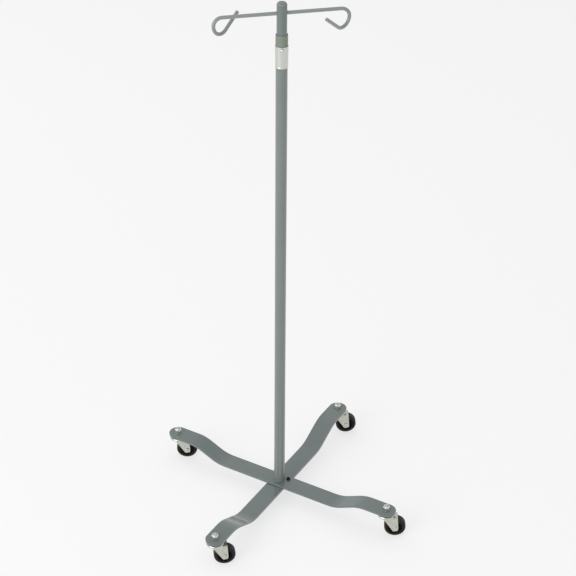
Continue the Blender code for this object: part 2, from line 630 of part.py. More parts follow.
def caster_fork(leg, frame):
    """Make the pressed fork: a round crown with two triangular side plates bent down from it."""
    axle_drop = CASTER_HEIGHT - AXLE_HEIGHT
    inside = HUB_BOSS_WIDTH / 2 + GAP
    outside = inside + FORK_PLATE
    top = -CROWN_DEPTH - GAP
    foot = -axle_drop - 2 * FORK_TIP_BELOW_AXLE
    centre_line = [(inside + FORK_PLATE / 2, foot), (inside + FORK_PLATE / 2, top - FORK_PLATE / 2)]
    channel = [(-y, z) for y, z in centre_line] + [(y, z) for y, z in reversed(centre_line)]
    section = thicken(rounded(channel, [0, FORK_BEND, FORK_BEND, 0], 3), FORK_PLATE)
    length = (FORK_TRAILING_CORNER - FORK_LEADING_CORNER) * 2
    fork = flat_solid(f"caster_fork_{leg}", section, length / 2, (math.pi / 2, 0, math.pi / 2))
    put(fork, frame, ((FORK_TRAILING_CORNER + FORK_LEADING_CORNER) / 2, 0, 0))

    lowest = -axle_drop - FORK_TIP_BELOW_AXLE
    side = rounded([
        (FORK_LEADING_CORNER, 0), (FORK_LEADING_CORNER, top - 2 * FORK_PLATE),
        (TRAIL - FORK_TIP_RADIUS / 2, lowest), (TRAIL + FORK_TIP_RADIUS, lowest),
        (FORK_TRAILING_CORNER, 0)],
        [0, FORK_PLATE, FORK_TIP_RADIUS / 2, FORK_TIP_RADIUS * 0.8, 0], 4, closed=True)
    profile = flat_solid(f"caster_fork_{leg}_side", side, outside * 2, (math.pi / 2, 0, 0), cutters)
    combine(fork, put(profile, frame), "INTERSECT")
    crown = cylinder(f"caster_fork_{leg}_crown", CROWN_DIAMETER / 2, -CROWN_DEPTH - FORK_PLATE,
                     -CROWN_DEPTH, CROWN_SIDES, cutters)
    combine(fork, put(crown, frame), "UNION")
    drill(fork, f"caster_fork_{leg}_pin_hole", KINGPIN_DIAMETER / 2 + GAP, (0, 0, top),
          FORK_PLATE * 4)
    drill(fork, f"caster_fork_{leg}_axle_hole", AXLE_DIAMETER / 2 + GAP, (TRAIL, 0, -axle_drop),
          outside * 4, rotation=(math.pi / 2, 0, 0))
    finish(fork, ZINC)

    middle = -CROWN_DEPTH + GAP + BALL_RADIUS
    around = [2 * math.pi * k / 6 for k in range(6)]
    balls = turned(f"ball_race_{leg}", [
        (BALL_CIRCLE_RADIUS + BALL_RADIUS * math.cos(a), middle - BALL_RADIUS * math.sin(a))
        for a in around], SMALL_SIDES)
    finish(put(balls, frame), STEEL)

    shank = AXLE_DIAMETER / 2
    head = AXLE_HEAD_DIAMETER / 2
    seat = outside + GAP
    end = seat + AXLE_HEAD_HEIGHT
    axle = turned(f"axle_{leg}", [
        (0, end), (head * 0.6, end), (head, seat + AXLE_HEAD_HEIGHT / 3), (head, seat),
        (shank, seat), (shank, -seat), (head, -seat), (head, -seat - AXLE_HEAD_HEIGHT / 3),
        (head * 0.6, -end), (0, -end)], PIN_SIDES)
    return finish(put(axle, frame, (TRAIL, 0, -axle_drop), (math.pi / 2, 0, 0)), ZINC)


def caster_wheel(leg, frame):
    """Make the hub and tyre, turned about the axle with one flat of the tread on the floor."""
    tread = WHEEL_DIAMETER / 2
    half = WHEEL_WIDTH / 2
    rim = tread - TYRE_DEPTH
    lie = (math.pi / 2, math.pi / WHEEL_SIDES, 0)
    corner = rounded([(rim, half), (tread, half), (tread, -half), (rim, -half)],
                     [0, TREAD_ROUNDING, TREAD_ROUNDING, 0], 2)
    tyre = turned(f"tyre_{leg}", [tuple(p) for p in corner], WHEEL_SIDES)
    finish(put(tyre, frame, rotation=lie), RUBBER)

    bore = AXLE_DIAMETER / 2 + RUNNING
    boss = HUB_BOSS_DIAMETER / 2
    boss_half = HUB_BOSS_WIDTH / 2
    rim_half = half - TREAD_ROUNDING / 2
    web_half = HUB_WEB / 2
    upper = [(bore, boss_half), (boss, boss_half), (boss + GAP, web_half),
             (rim - HUB_RIM, web_half), (rim - HUB_RIM, rim_half), (rim - GAP, rim_half)]
    lower = [(r, -z) for r, z in reversed(upper)]
    hub = turned(f"hub_{leg}", upper + lower, CROWN_SIDES)
    return finish(put(hub, frame, rotation=lie), BLACK_PLASTIC)


def caster(leg, frame):
    """Make one caster: its fixed stem, its swivelling fork and its wheel."""
    direction, trailing = (math.radians(a) for a in LEGS[leg])
    place = (STEM_RADIUS * math.cos(direction), STEM_RADIUS * math.sin(direction), CASTER_HEIGHT)
    caster_stem(leg, empty(f"stem_axis_{leg}", frame, place, direction))
    swivel = empty(f"swivel_axis_{leg}", frame, place, trailing)
    caster_fork(leg, swivel)
    caster_wheel(leg, empty(f"wheel_axis_{leg}", swivel, (TRAIL, 0, AXLE_HEIGHT - CASTER_HEIGHT)))


def centre_footprint(frame):
    """Move the stand so that the middle of its footprint is at the origin."""
    bpy.context.view_layer.update()
    depsgraph = bpy.context.evaluated_depsgraph_get()
    corners = []
    for item in parts.objects:
        if item.type == "MESH":
            shape = item.evaluated_get(depsgraph)
            corners += [shape.matrix_world @ v.co for v in shape.data.vertices]
    for axis in (0, 1):
        values = [c[axis] for c in corners]
        frame.location[axis] -= (min(values) + max(values)) / 2


def build():
    """Make the whole stand."""
    frame = empty("pole_axis", None)
    leg_bar("upper_leg_bar", UPPER_BAR_TOP, 0.0, frame)
    leg_bar("lower_leg_bar", LOWER_BAR_TOP, math.pi / 2, frame)
    pole_foot(frame)
    outer_pole(frame)
    lock_collet(empty("collet_axis", frame))
    guide_bush(empty("slide_axis", frame))
    inner_pole(empty("turning_axis", frame))
    for leg in LEGS:
        caster(leg, frame)
    centre_footprint(frame)


clear_scene()
parts = new_collection("iv_stand")
cutters = new_collection("cutters")
build()
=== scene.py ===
"""Looks of a rolling infusion stand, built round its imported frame.

Places come from the frame's boxes and joints. Sizes that the frame doesn't give, such as sheet
thicknesses and edge radii, are fields of the class that makes the piece. Metres, +Z up.
"""

import json
import logging
import math
from dataclasses import dataclass
from enum import Enum
from functools import lru_cache
from typing import Any, Callable, Sequence

import bmesh
import bpy
from mathutils import Matrix, Vector

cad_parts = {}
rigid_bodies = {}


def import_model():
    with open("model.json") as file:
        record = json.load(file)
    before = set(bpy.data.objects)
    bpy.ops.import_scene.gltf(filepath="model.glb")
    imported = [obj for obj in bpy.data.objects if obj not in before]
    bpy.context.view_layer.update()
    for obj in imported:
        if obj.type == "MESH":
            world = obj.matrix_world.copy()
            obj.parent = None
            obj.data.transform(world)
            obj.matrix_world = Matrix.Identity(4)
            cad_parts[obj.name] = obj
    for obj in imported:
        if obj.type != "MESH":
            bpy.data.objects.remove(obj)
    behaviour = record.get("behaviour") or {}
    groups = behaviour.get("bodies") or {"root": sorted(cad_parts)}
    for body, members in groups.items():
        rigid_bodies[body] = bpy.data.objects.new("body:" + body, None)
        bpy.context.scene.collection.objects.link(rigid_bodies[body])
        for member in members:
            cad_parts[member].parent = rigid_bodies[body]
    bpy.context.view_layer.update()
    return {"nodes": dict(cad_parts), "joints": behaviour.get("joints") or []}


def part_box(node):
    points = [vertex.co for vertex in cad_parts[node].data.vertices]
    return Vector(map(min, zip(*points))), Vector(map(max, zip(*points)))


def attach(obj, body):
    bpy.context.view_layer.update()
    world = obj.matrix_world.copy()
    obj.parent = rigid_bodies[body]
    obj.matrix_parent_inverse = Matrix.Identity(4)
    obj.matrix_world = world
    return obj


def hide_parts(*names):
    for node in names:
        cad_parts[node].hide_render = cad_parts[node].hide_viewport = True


for left_over in list(bpy.data.objects):
    bpy.data.objects.remove(left_over, do_unlink=True)
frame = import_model()

LOG = logging.getLogger("infusion_stand")
MM = 0.001
GAP = 0.3 * MM
QUARTER_TURN = math.pi / 2
SIXTH_TURN = math.pi / 3
WHITE = (1.0, 1.0, 1.0, 1.0)
TURNED_SHARP = 40.0         # degrees past which a turned piece keeps an edge
HEXAGON_SHARP = 25.0        # the same for a hexagon and its chamfers
Outline = Sequence[tuple[float, float]]
Warp = Callable[[float, float, float], float]


class Body(Enum):
    """The bodies that are not part of a caster."""

    BASE = "base"
    COLLET = "lock_collet"
    INNER = "inner_pole"


class Leg(Enum):
    """The four ends of the crossed bars."""

    RIGHT = "right"
    BACK = "back"
    LEFT = "left"
    FRONT = "front"


# --- Nodes and colours -----------------------------------------------------------------------


def linear(code: str) -> tuple[float, float, float, float]:
    """Turn an sRGB hex code into linear RGBA.

    Args:
        code: Six hex digits.

    Returns:
        The linear colour, opaque.
    """
    channels = [int(code[i:i + 2], 16) / 255 for i in (0, 2, 4)]
    straight = [c / 12.92 if c <= 0.04045 else ((c + 0.055) / 1.055) ** 2.4 for c in channels]
    return (*straight, 1.0)


def add(tree: bpy.types.NodeTree, kind: str, settings: dict[str, Any] | None = None,
        sockets: dict[str | int, Any] | None = None) -> bpy.types.Node:
    """Add a node with its settings and links.

    Args:
        tree: The tree that gets the node.
        kind: The node's type name.
        settings: The node's own properties.
        sockets: Input names or numbers, each with a value or with the output linked to it.

    Returns:
        The new node.
    """
    node = tree.nodes.new(kind)
    for name, value in (settings or {}).items():
        setattr(node, name, value)
    feed(tree, node, sockets or {})
    return node


def feed(tree: bpy.types.NodeTree, node: bpy.types.Node, sockets: dict[str | int, Any]) -> None:
    """Set a node's inputs.

    Args:
        tree: The node's tree.
        node: The node.
        sockets: Input names or numbers, each with a value or with the output linked to it.
    """
    for key, value in sockets.items():
        if isinstance(value, bpy.types.NodeSocket):
            tree.links.new(value, node.inputs[key])
        else:
            node.inputs[key].default_value = value


# --- Finishes --------------------------------------------------------------------------------


@dataclass(frozen=True)
class Finish:
    """A surface finish: its name, the record's slot it stands for, its colour and roughness."""

    name: str
    slot: str
    colour: str
    roughness: float

    @lru_cache(maxsize=None)
    def material(self) -> bpy.types.Material:
        """Make the finish's material, once."""
        made = bpy.data.materials.new(self.name)
        made.use_nodes = True
        tree = made.node_tree
        shader = tree.nodes["Principled BSDF"]
        feed(tree, shader, {"Base Color": linear(self.colour), "Roughness": self.roughness})
        made.diffuse_color = linear(self.colour)
        self.dress(tree, shader)
        return made

    def dress(self, tree: bpy.types.NodeTree, shader: bpy.types.Node) -> None:
        """Add the finish's patterns to its shader."""
        raise NotImplementedError

    def noise(self, tree: bpy.types.NodeTree, size: float, detail: float = 2.0,
              stretch: tuple[float, float, float] = (1.0, 1.0, 1.0),
              coordinates: str = "Object") -> bpy.types.NodeSocket:
        """Add a noise whose grains have a real size.

        Args:
            tree: The material's tree.
            size: Width of a grain, in metres.
            detail: How many finer layers it has.
            stretch: How much shorter a grain is along each axis.
            coordinates: Object, or UV for a pattern that follows the surface.

        Returns:
            The noise's value, about 0.3 to 0.7.
        """
        where = add(tree, "ShaderNodeTexCoord").outputs[coordinates]
        scaled = add(tree, "ShaderNodeMapping", {"vector_type": "POINT"},
                     {"Vector": where, "Scale": stretch})
        made = add(tree, "ShaderNodeTexNoise", {"noise_dimensions": "3D"},
                   {"Vector": scaled.outputs["Vector"], "Scale": 1 / size, "Detail": detail})
        return made.outputs["Fac"]

    def spread(self, tree: bpy.types.NodeTree, value: bpy.types.NodeSocket, low: float,
               high: float, start: float = 0.3, end: float = 0.7) -> bpy.types.NodeSocket:
        """Map a value from its own range to low and high."""
        made = add(tree, "ShaderNodeMapRange", {"clamp": True}, {
            "Value": value, "From Min": start, "From Max": end, "To Min": low, "To Max": high})
        return made.outputs["Result"]

    def blend(self, tree: bpy.types.NodeTree, share: bpy.types.NodeSocket, first: Any,
              second: Any) -> bpy.types.NodeSocket:
        """Mix two colours, each a linear colour or a socket."""
        made = add(tree, "ShaderNodeMix", {"data_type": "RGBA"}, {0: share, 6: first, 7: second})
        return made.outputs[2]

    def emboss(self, tree: bpy.types.NodeTree, height: bpy.types.NodeSocket, depth: float,
               strength: float = 1.0, over: bpy.types.NodeSocket | None = None
               ) -> bpy.types.NodeSocket:
        """Add a bump of a real depth, over another bump if one is given."""
        sockets: dict[str | int, Any] = {"Height": height, "Distance": depth, "Strength": strength}
        if over is not None:
            sockets["Normal"] = over
        return add(tree, "ShaderNodeBump", {}, sockets).outputs["Normal"]


@dataclass(frozen=True)
class StovedEnamel(Finish):
    """Grey stoved enamel on steel tube and bar.

    It is sprayed and baked, so it has a faint orange peel, a tone that drifts a little over a
    hand's width, and a gloss deep enough to mirror the bright nuts that stand on it.
    """

    shade: str = "5c6867"
    dust: str = "8f9691"            # specks of dust that were baked in
    drift: float = 90 * MM
    smear: float = 22 * MM
    speck: float = 0.9 * MM         # specks are finer in fact
    peel: float = 2.4 * MM          # orange peel is finer in fact, drawn as coarse as it shows
    peel_depth: float = 0.03 * MM
    mirror: float = 0.15            # the pigment under the gloss mirrors little
    gloss: float = 1.0
    gloss_roughness: float = 0.07
    gloss_ior: float = 1.58

    def dress(self, tree: bpy.types.NodeTree, shader: bpy.types.Node) -> None:
        """Add drifting tone, dust, smears in the gloss and orange peel."""
        tone = self.spread(tree, self.noise(tree, self.drift, 3.0), 0.0, 0.8)
        colour = self.blend(tree, tone, linear(self.colour), linear(self.shade))
        specks = self.spread(tree, self.noise(tree, self.speck, 1.0), 0.0, 0.3, 0.62, 0.72)
        smears = self.noise(tree, self.smear, 4.0, (1.0, 1.0, 0.3))
        peel = self.emboss(tree, self.noise(tree, self.peel, 1.0), self.peel_depth, 0.25)
        feed(tree, shader, {
            "Base Color": self.blend(tree, specks, colour, linear(self.dust)),
            "Roughness": self.spread(tree, smears, self.roughness - 0.04, self.roughness + 0.07),
            "Normal": peel, "Coat Normal": peel, "Specular IOR Level": self.mirror, "IOR": 1.5,
            "Coat Weight": self.gloss, "Coat Roughness": self.gloss_roughness,
            "Coat IOR": self.gloss_ior})


@dataclass(frozen=True)
class BrightPlate(Finish):
    """Nickel-chromium plate over drawn steel tube.

    The tube is drawn and polished lengthwise before plating, so the mirror carries faint lines
    along its length that pull reflections into vertical streaks.
    """

    line_tint: str = "c9ccc4"
    line: float = 0.7 * MM          # polishing lines are finer in fact
    line_depth: float = 0.02 * MM
    haze: float = 9 * MM

    def dress(self, tree: bpy.types.NodeTree, shader: bpy.types.Node) -> None:
        """Add lengthwise polishing lines and a faint haze."""
        lines = self.noise(tree, self.line, 2.0, (1.0, 1.0, 0.02))
        tint = self.blend(tree, self.spread(tree, lines, 0.0, 0.7), linear(self.colour),
                          linear(self.line_tint))
        haze = self.spread(tree, self.noise(tree, self.haze, 3.0), self.roughness,
                           self.roughness + 0.06)
        both = add(tree, "ShaderNodeMath", {"operation": "ADD"},
                   {0: self.spread(tree, lines, 0.0, 0.10), 1: haze})
        feed(tree, shader, {
            "Metallic": 1.0, "Base Color": tint, "Roughness": both.outputs[0],
            "Normal": self.emboss(tree, lines, self.line_depth, 0.5)})


@dataclass(frozen=True)
class ZincPlate(Finish):
    """Bright zinc plate with a clear passivate on pressed and turned steel.

    Barrel plating leaves it milky with fine rubs in every direction, and the passivate gives
    it patches of warm straw colour.
    """

    warm: str = "c6bfa4"
    haze: str = "a4a69f"
    patch: float = 7 * MM
    cloud: float = 2.2 * MM
    rub: float = 0.5 * MM           # rubs are finer in fact
    rub_depth: float = 0.01 * MM

    def dress(self, tree: bpy.types.NodeTree, shader: bpy.types.Node) -> None:
        """Add warm patches, milky clouds and rubs."""
        patches = self.spread(tree, self.noise(tree, self.patch, 4.0), 0.0, 0.8, 0.42, 0.68)
        colour = self.blend(tree, patches, linear(self.colour), linear(self.warm))
        clouds = self.noise(tree, self.cloud, 5.0)
        milky = self.blend(tree, self.spread(tree, clouds, 0.0, 0.5), colour, linear(self.haze))
        rubs = self.noise(tree, self.rub, 1.0, (1.0, 0.12, 0.5))
        across = self.noise(tree, self.rub, 1.0, (0.1, 1.0, 0.4))
        first = self.emboss(tree, rubs, self.rub_depth, 0.5)
        feed(tree, shader, {
            "Metallic": 1.0, "Base Color": milky,
            "Roughness": self.spread(tree, clouds, self.roughness - 0.07, self.roughness + 0.12),
            "Normal": self.emboss(tree, across, self.rub_depth, 0.5, first)})


@dataclass(frozen=True)
class PlainSteel(Finish):
    """Bare turned or ground steel, bright with fine rings from the tool and a little oil."""

    oil: str = "8b867b"
    stain: float = 5 * MM
    mark: float = 0.4 * MM          # tool marks are finer in fact
    mark_depth: float = 0.01 * MM

    def dress(self, tree: bpy.types.NodeTree, shader: bpy.types.Node) -> None:
        """Add tool marks and oil stains."""
        stains = self.spread(tree, self.noise(tree, self.stain, 4.0), 0.0, 0.7)
        marks = self.noise(tree, self.mark, 2.0, (0.1, 0.1, 1.0))
        feed(tree, shader, {
            "Metallic": 1.0,
            "Base Color": self.blend(tree, stains, linear(self.colour), linear(self.oil)),
            "Roughness": self.spread(tree, marks, self.roughness - 0.08, self.roughness + 0.1),
            "Normal": self.emboss(tree, marks, self.mark_depth, 0.6)})


@dataclass(frozen=True)
class BlackOxide(Finish):
    """Black oxide on an alloy steel screw, oily, with brown where it wears thin."""

    brown: str = "3a332c"
    metal: float = 0.55             # the oxide hides part of the metal
    worn: float = 1.6 * MM
    sheen: float = 1.1 * MM
    grain: float = 0.25 * MM        # the oxide's grain is finer in fact
    grain_depth: float = 0.01 * MM

    def dress(self, tree: bpy.types.NodeTree, shader: bpy.types.Node) -> None:
        """Add the oil's uneven sheen and worn spots."""
        worn = self.spread(tree, self.noise(tree, self.worn, 4.0), 0.0, 0.6, 0.55, 0.75)
        sheen = self.noise(tree, self.sheen, 3.0)
        grain = self.noise(tree, self.grain, 2.0)
        feed(tree, shader, {
            "Metallic": self.metal,
            "Base Color": self.blend(tree, worn, linear(self.colour), linear(self.brown)),
            "Roughness": self.spread(tree, sheen, self.roughness - 0.1, self.roughness + 0.15),
            "Normal": self.emboss(tree, grain, self.grain_depth, 0.5)})


@dataclass(frozen=True)
class MouldedPlastic(Finish):
    """Injection moulded plastic with an eroded mould texture.

    The mould's fine grain breaks up the highlight, the colour clouds a little where the melt
    flowed, and rubbed spots are shinier.
    """

    cloud: str = "ffffff"
    gleam: float = 0.5              # how much light the bare surface mirrors
    flow: float = 8 * MM
    rub: float = 4 * MM
    grain: float = 0.5 * MM         # mould grain is finer in fact
    depth: float = 0.02 * MM

    def dress(self, tree: bpy.types.NodeTree, shader: bpy.types.Node) -> None:
        """Add flow clouds, rubbed spots and mould grain."""
        flow = self.spread(tree, self.noise(tree, self.flow, 3.0, (1.0, 1.0, 0.4)), 0.0, 0.6)
        rubs = self.noise(tree, self.rub, 4.0)
        grain = self.noise(tree, self.grain, 3.0)
        feed(tree, shader, {
            "Base Color": self.blend(tree, flow, linear(self.colour), linear(self.cloud)),
            "Roughness": self.spread(tree, rubs, self.roughness - 0.1, self.roughness + 0.08),
            "Normal": self.emboss(tree, grain, self.depth, 0.8),
            "IOR": 1.48, "Specular IOR Level": self.gleam})


@dataclass(frozen=True)
class SolidRubber(Finish):
    """Moulded solid rubber tyre.

    Carbon black makes it almost black. Its UV runs round the wheel and across the section, so
    the mould's turning rings and the grey dust of the tread follow the tyre.
    """

    dust: str = "2f302a"
    bloom: str = "171815"
    mirror: float = 0.3
    bloom_size: float = 9 * MM
    wear: float = 3 * MM
    speck: float = 1.3 * MM
    ring: float = 0.55 * MM         # rings left by turning the mould are finer in fact
    ring_depth: float = 0.012 * MM
    pit: float = 0.35 * MM          # pits are finer in fact
    pit_depth: float = 0.02 * MM

    def times(self, tree: bpy.types.NodeTree, value: Any, factor: Any) -> bpy.types.NodeSocket:
        """Multiply two values, each a number or a socket."""
        made = add(tree, "ShaderNodeMath", {"operation": "MULTIPLY"}, {0: value, 1: factor})
        return made.outputs[0]

    def dress(self, tree: bpy.types.NodeTree, shader: bpy.types.Node) -> None:
        """Add mould rings, bloom and dust on the tread."""
        across = add(tree, "ShaderNodeUVMap", {"uv_map": "turn"})
        split = add(tree, "ShaderNodeSeparateXYZ", {}, {"Vector": across.outputs["UV"]})
        rings = add(tree, "ShaderNodeMath", {"operation": "SINE"},
                    {0: self.times(tree, split.outputs["Y"], math.tau / self.ring)})
        bloom = self.spread(tree, self.noise(tree, self.bloom_size, 4.0), 0.0, 0.45)
        colour = self.blend(tree, bloom, linear(self.colour), linear(self.bloom))
        tread = add(tree, "ShaderNodeAttribute", {"attribute_name": "tread"})
        specks = self.spread(tree, self.noise(tree, self.speck, 5.0), 0.25, 0.9, 0.4, 0.65)
        dusty = self.times(tree, tread.outputs["Fac"], specks)
        wear = self.noise(tree, self.wear, 3.0)
        turned = self.emboss(tree, rings.outputs[0], self.ring_depth, 0.6)
        pits = self.noise(tree, self.pit, 2.0)
        feed(tree, shader, {
            "Base Color": self.blend(tree, dusty, colour, linear(self.dust)),
            "Roughness": self.spread(tree, wear, self.roughness - 0.08, self.roughness + 0.12),
            "Normal": self.emboss(tree, pits, self.pit_depth, 0.5, turned),
            "Specular IOR Level": self.mirror})


ENAMEL = StovedEnamel("stoved_grey_enamel", "grey_paint", "646e6c", 0.36)
# A lighter copy of the grey enamel, for the fixed tube alone: painted light that makes the tube
# brighter than the bars.
LIGHTER_TUBE_ENAMEL = StovedEnamel("tube_enamel_painted_light", "grey_paint", "6f7773", 0.36, shade="68716e")
# A lighter copy of the grey enamel, for the hook rod alone: painted highlight along the rod.
HIGHLIGHT_ROD_ENAMEL = StovedEnamel("rod_enamel_painted_highlight", "grey_paint", "818884", 0.36, shade="79817c")
CHROME = BrightPlate("nickel_chrome_plate", "chrome", "cdd0ca", 0.20)
# Chrome painted near white for the pin's dome: painted highlight, on a pin that is also smoother
# than the sleeve.
HIGHLIGHT_PIN_CHROME = BrightPlate("pin_chrome_painted_highlight", "chrome", "f2f5f2", 0.10)
ZINC = ZincPlate("bright_zinc_plate", "zinc_steel", "ced3cb", 0.27)
# Zinc painted near white for the lock nuts: painted highlight, on nuts that are also smoother than
# the other zinc.
HIGHLIGHT_NUT_ZINC = ZincPlate("nut_zinc_painted_highlight", "zinc_steel", "f4f8f5", 0.14, warm="e9ebe2",
                     haze="dadfdb")
STEEL = PlainSteel("turned_bare_steel", "plain_steel", "b9bab5", 0.32)
OXIDE = BlackOxide("oiled_black_oxide", "black_steel", "18191a", 0.42)
COLLET_NYLON = MouldedPlastic("moulded_collet_nylon", "collet_plastic", "747a6f", 0.52,
                              cloud="7f8479")
CAP_VINYL = MouldedPlastic("moulded_cap_vinyl", "cap_plastic", "6f7875", 0.34, cloud="7a8380")
WHITE_NYLON = MouldedPlastic("moulded_white_nylon", "white_nylon", "d6d4c8", 0.5,
                             cloud="e2e0d6")
# Black plastic of its own, painted blacker still and with its reflection turned down: painted
# shade, as dark as the shadow between fork plate and tyre.
HUB_PLASTIC = MouldedPlastic("moulded_black_hub", "black_plastic", "070807", 0.42,
                             cloud="0d0e0c", gleam=0.12, grain=0.7 * MM)
RUBBER = SolidRubber("moulded_tyre_rubber", "black_rubber", "10110e", 0.58)


# --- Meshes ----------------------------------------------------------------------------------


def rounded(points: Sequence[Sequence[float]], radii: Sequence[float], steps: int,
            closed: bool = False) -> list[Vector]:
    """Replace each corner of a polyline by an arc of its radius.

    Args:
        points: Corners, flat or in space.
        radii: One radius for each corner, 0 to keep it.
        steps: Chords in each arc.
        closed: Whether the last corner joins the first.

    Returns:
        The points of the rounded line.
    """
    corners = [Vector(p) for p in points]
    line = []
    for i, corner in enumerate(corners):
        is_end = not closed and i in (0, len(corners) - 1)
        if is_end or radii[i] == 0:
            line.append(corner)
            continue
        back = (corners[i - 1] - corner).normalized()
        ahead = (corners[(i + 1) % len(corners)] - corner).normalized()
        half = back.angle(ahead) / 2
        if half > QUARTER_TURN - 1e-4:
            line.append(corner)
            continue
        centre = corner + (back + ahead).normalized() * (radii[i] / math.sin(half))
        start = corner + back * (radii[i] / math.tan(half)) - centre
        end = corner + ahead * (radii[i] / math.tan(half)) - centre
        sweep = math.pi - 2 * half
        for k in range(steps + 1):
            angle = sweep * k / steps
            arm = start * math.sin(sweep - angle) + end * math.sin(angle)
            line.append(centre + arm / math.sin(sweep))
    return line


def section(points: Outline, radii: Sequence[float], steps: int = 4,
            closed: bool = False) -> list[tuple[float, float]]:
    """Round a flat outline and return it as pairs."""
    return [(p[0], p[1]) for p in rounded(points, radii, steps, closed)]


def flat_ring(outer: float, inner: float, foot: float, top: float, eases: Sequence[float],
              steps: int = 3) -> list[tuple[float, float]]:
    """Return the outline of a ring with eased corners.

    Args:
        outer: Outer radius.
        inner: Inner radius.
        foot: Height of its lower face.
        top: Height of its upper face.
        eases: Radii of the corners, down its outer side and up its inner side.
        steps: Chords in each corner.

    Returns:
        (radius, height) points in a loop.
    """
    corners = [(outer, top), (outer, foot), (inner, foot), (inner, top)]
    return section(corners, eases, steps, closed=True)


def link(name: str, data: bpy.types.ID) -> bpy.types.Object:
    """Return a new object that shows a mesh, a light or a camera."""
    item = bpy.data.objects.new(name, data)
    bpy.context.scene.collection.objects.link(item)
    return item


def solid(name: str, shape: bmesh.types.BMesh, place: Matrix | None = None,
          sharp: float = TURNED_SHARP) -> bpy.types.Object:
    """Turn a bmesh into an object with its faces out and its edges marked.

    Args:
        name: The object's name.
        shape: The bmesh, which is freed.
        place: Where it stands.
        sharp: Angle in degrees past which an edge stays sharp.

    Returns:
        The object, with its place in its mesh.
    """
    bmesh.ops.remove_doubles(shape, verts=shape.verts, dist=0.002 * MM)
    bmesh.ops.recalc_face_normals(shape, faces=shape.faces)
    mesh = bpy.data.meshes.new(name)
    shape.to_mesh(mesh)
    shape.free()
    mesh.transform(place or Matrix())
    item = link(name, mesh)
    return shade(item, sharp)


def shade(item: bpy.types.Object, sharp: float = TURNED_SHARP) -> bpy.types.Object:
    """Shade an object smooth between its sharp edges, with broad faces kept flat."""
    item.data.shade_smooth()
    item.data.set_sharp_from_angle(angle=math.radians(sharp))
    modify(item, "WEIGHTED_NORMAL", keep_sharp=True, weight=60)
    return settle(item)


def modify(item: bpy.types.Object, kind: str, **settings: Any) -> bpy.types.Modifier:
    """Give an object a modifier with its settings."""
    made = item.modifiers.new(kind.title(), kind)
    for name, value in settings.items():
        setattr(made, name, value)
    return made


def settle(item: bpy.types.Object) -> bpy.types.Object:
    """Turn what an object's modifiers make into its own plain mesh."""
    bpy.context.view_layer.update()
    graph = bpy.context.evaluated_depsgraph_get()
    mesh = bpy.data.meshes.new_from_object(item.evaluated_get(graph))
    item.modifiers.clear()
    item.data = mesh
    mesh.name = item.name
    return item


def revolve(name: str, outline: Outline, sides: int, place: Matrix | None = None,
            sweep: float = math.tau, warp: Warp | None = None, sharp: float = TURNED_SHARP
            ) -> bpy.types.Object:
    """Turn an outline about Z.

    Its UV map "turn" runs round the axis and, in metres, along the outline.

    Args:
        name: The object's name.
        outline: (radius, height) points down the outer side, from axis to axis or in a loop.
        sides: Facets in the whole sweep.
        place: Where the piece stands.
        sweep: The angle it is turned through.
        warp: Gives the radius at a (radius, height, angle), for sides that aren't round.
        sharp: Angle in degrees past which an edge stays sharp.

    Returns:
        The turned object.
    """
    shape = bmesh.new()
    layer = shape.loops.layers.uv.new("turn")
    full = abs(sweep - math.tau) < 1e-6
    columns = sides if full else sides + 1
    rings = []
    for radius, height in outline:
        if radius < 1e-7:
            rings.append([shape.verts.new((0, 0, height))] * columns)
            continue
        ring = []
        for k in range(columns):
            angle = sweep * k / sides
            reach = warp(radius, height, angle) if warp else radius
            ring.append(shape.verts.new((reach * math.cos(angle), reach * math.sin(angle), height)))
        rings.append(ring)
    is_loop = outline[0][0] > 1e-7
    count = len(outline)
    travel = 0.0
    for i in range(count if is_loop else count - 1):
        j = (i + 1) % count
        length = math.dist(outline[i], outline[j])
        for k in range(sides):
            n = (k + 1) % columns
            corners = [(rings[i][k], k, 0.0), (rings[j][k], k, length),
                       (rings[j][n], k + 1, length), (rings[i][n], k + 1, 0.0)]
            kept = [c for m, c in enumerate(corners) if c[0] not in [d[0] for d in corners[:m]]]
            if len(kept) < 3:
                continue
            face = shape.faces.new([c[0] for c in kept])
            for loop, (_, turn, along) in zip(face.loops, kept):
                loop[layer].uv = (turn / sides, travel + along)
        travel += length
    if not full:
        shape.faces.new([ring[0] for ring in rings])
        shape.faces.new([ring[-1] for ring in reversed(rings)])
    return solid(name, shape, place, sharp)


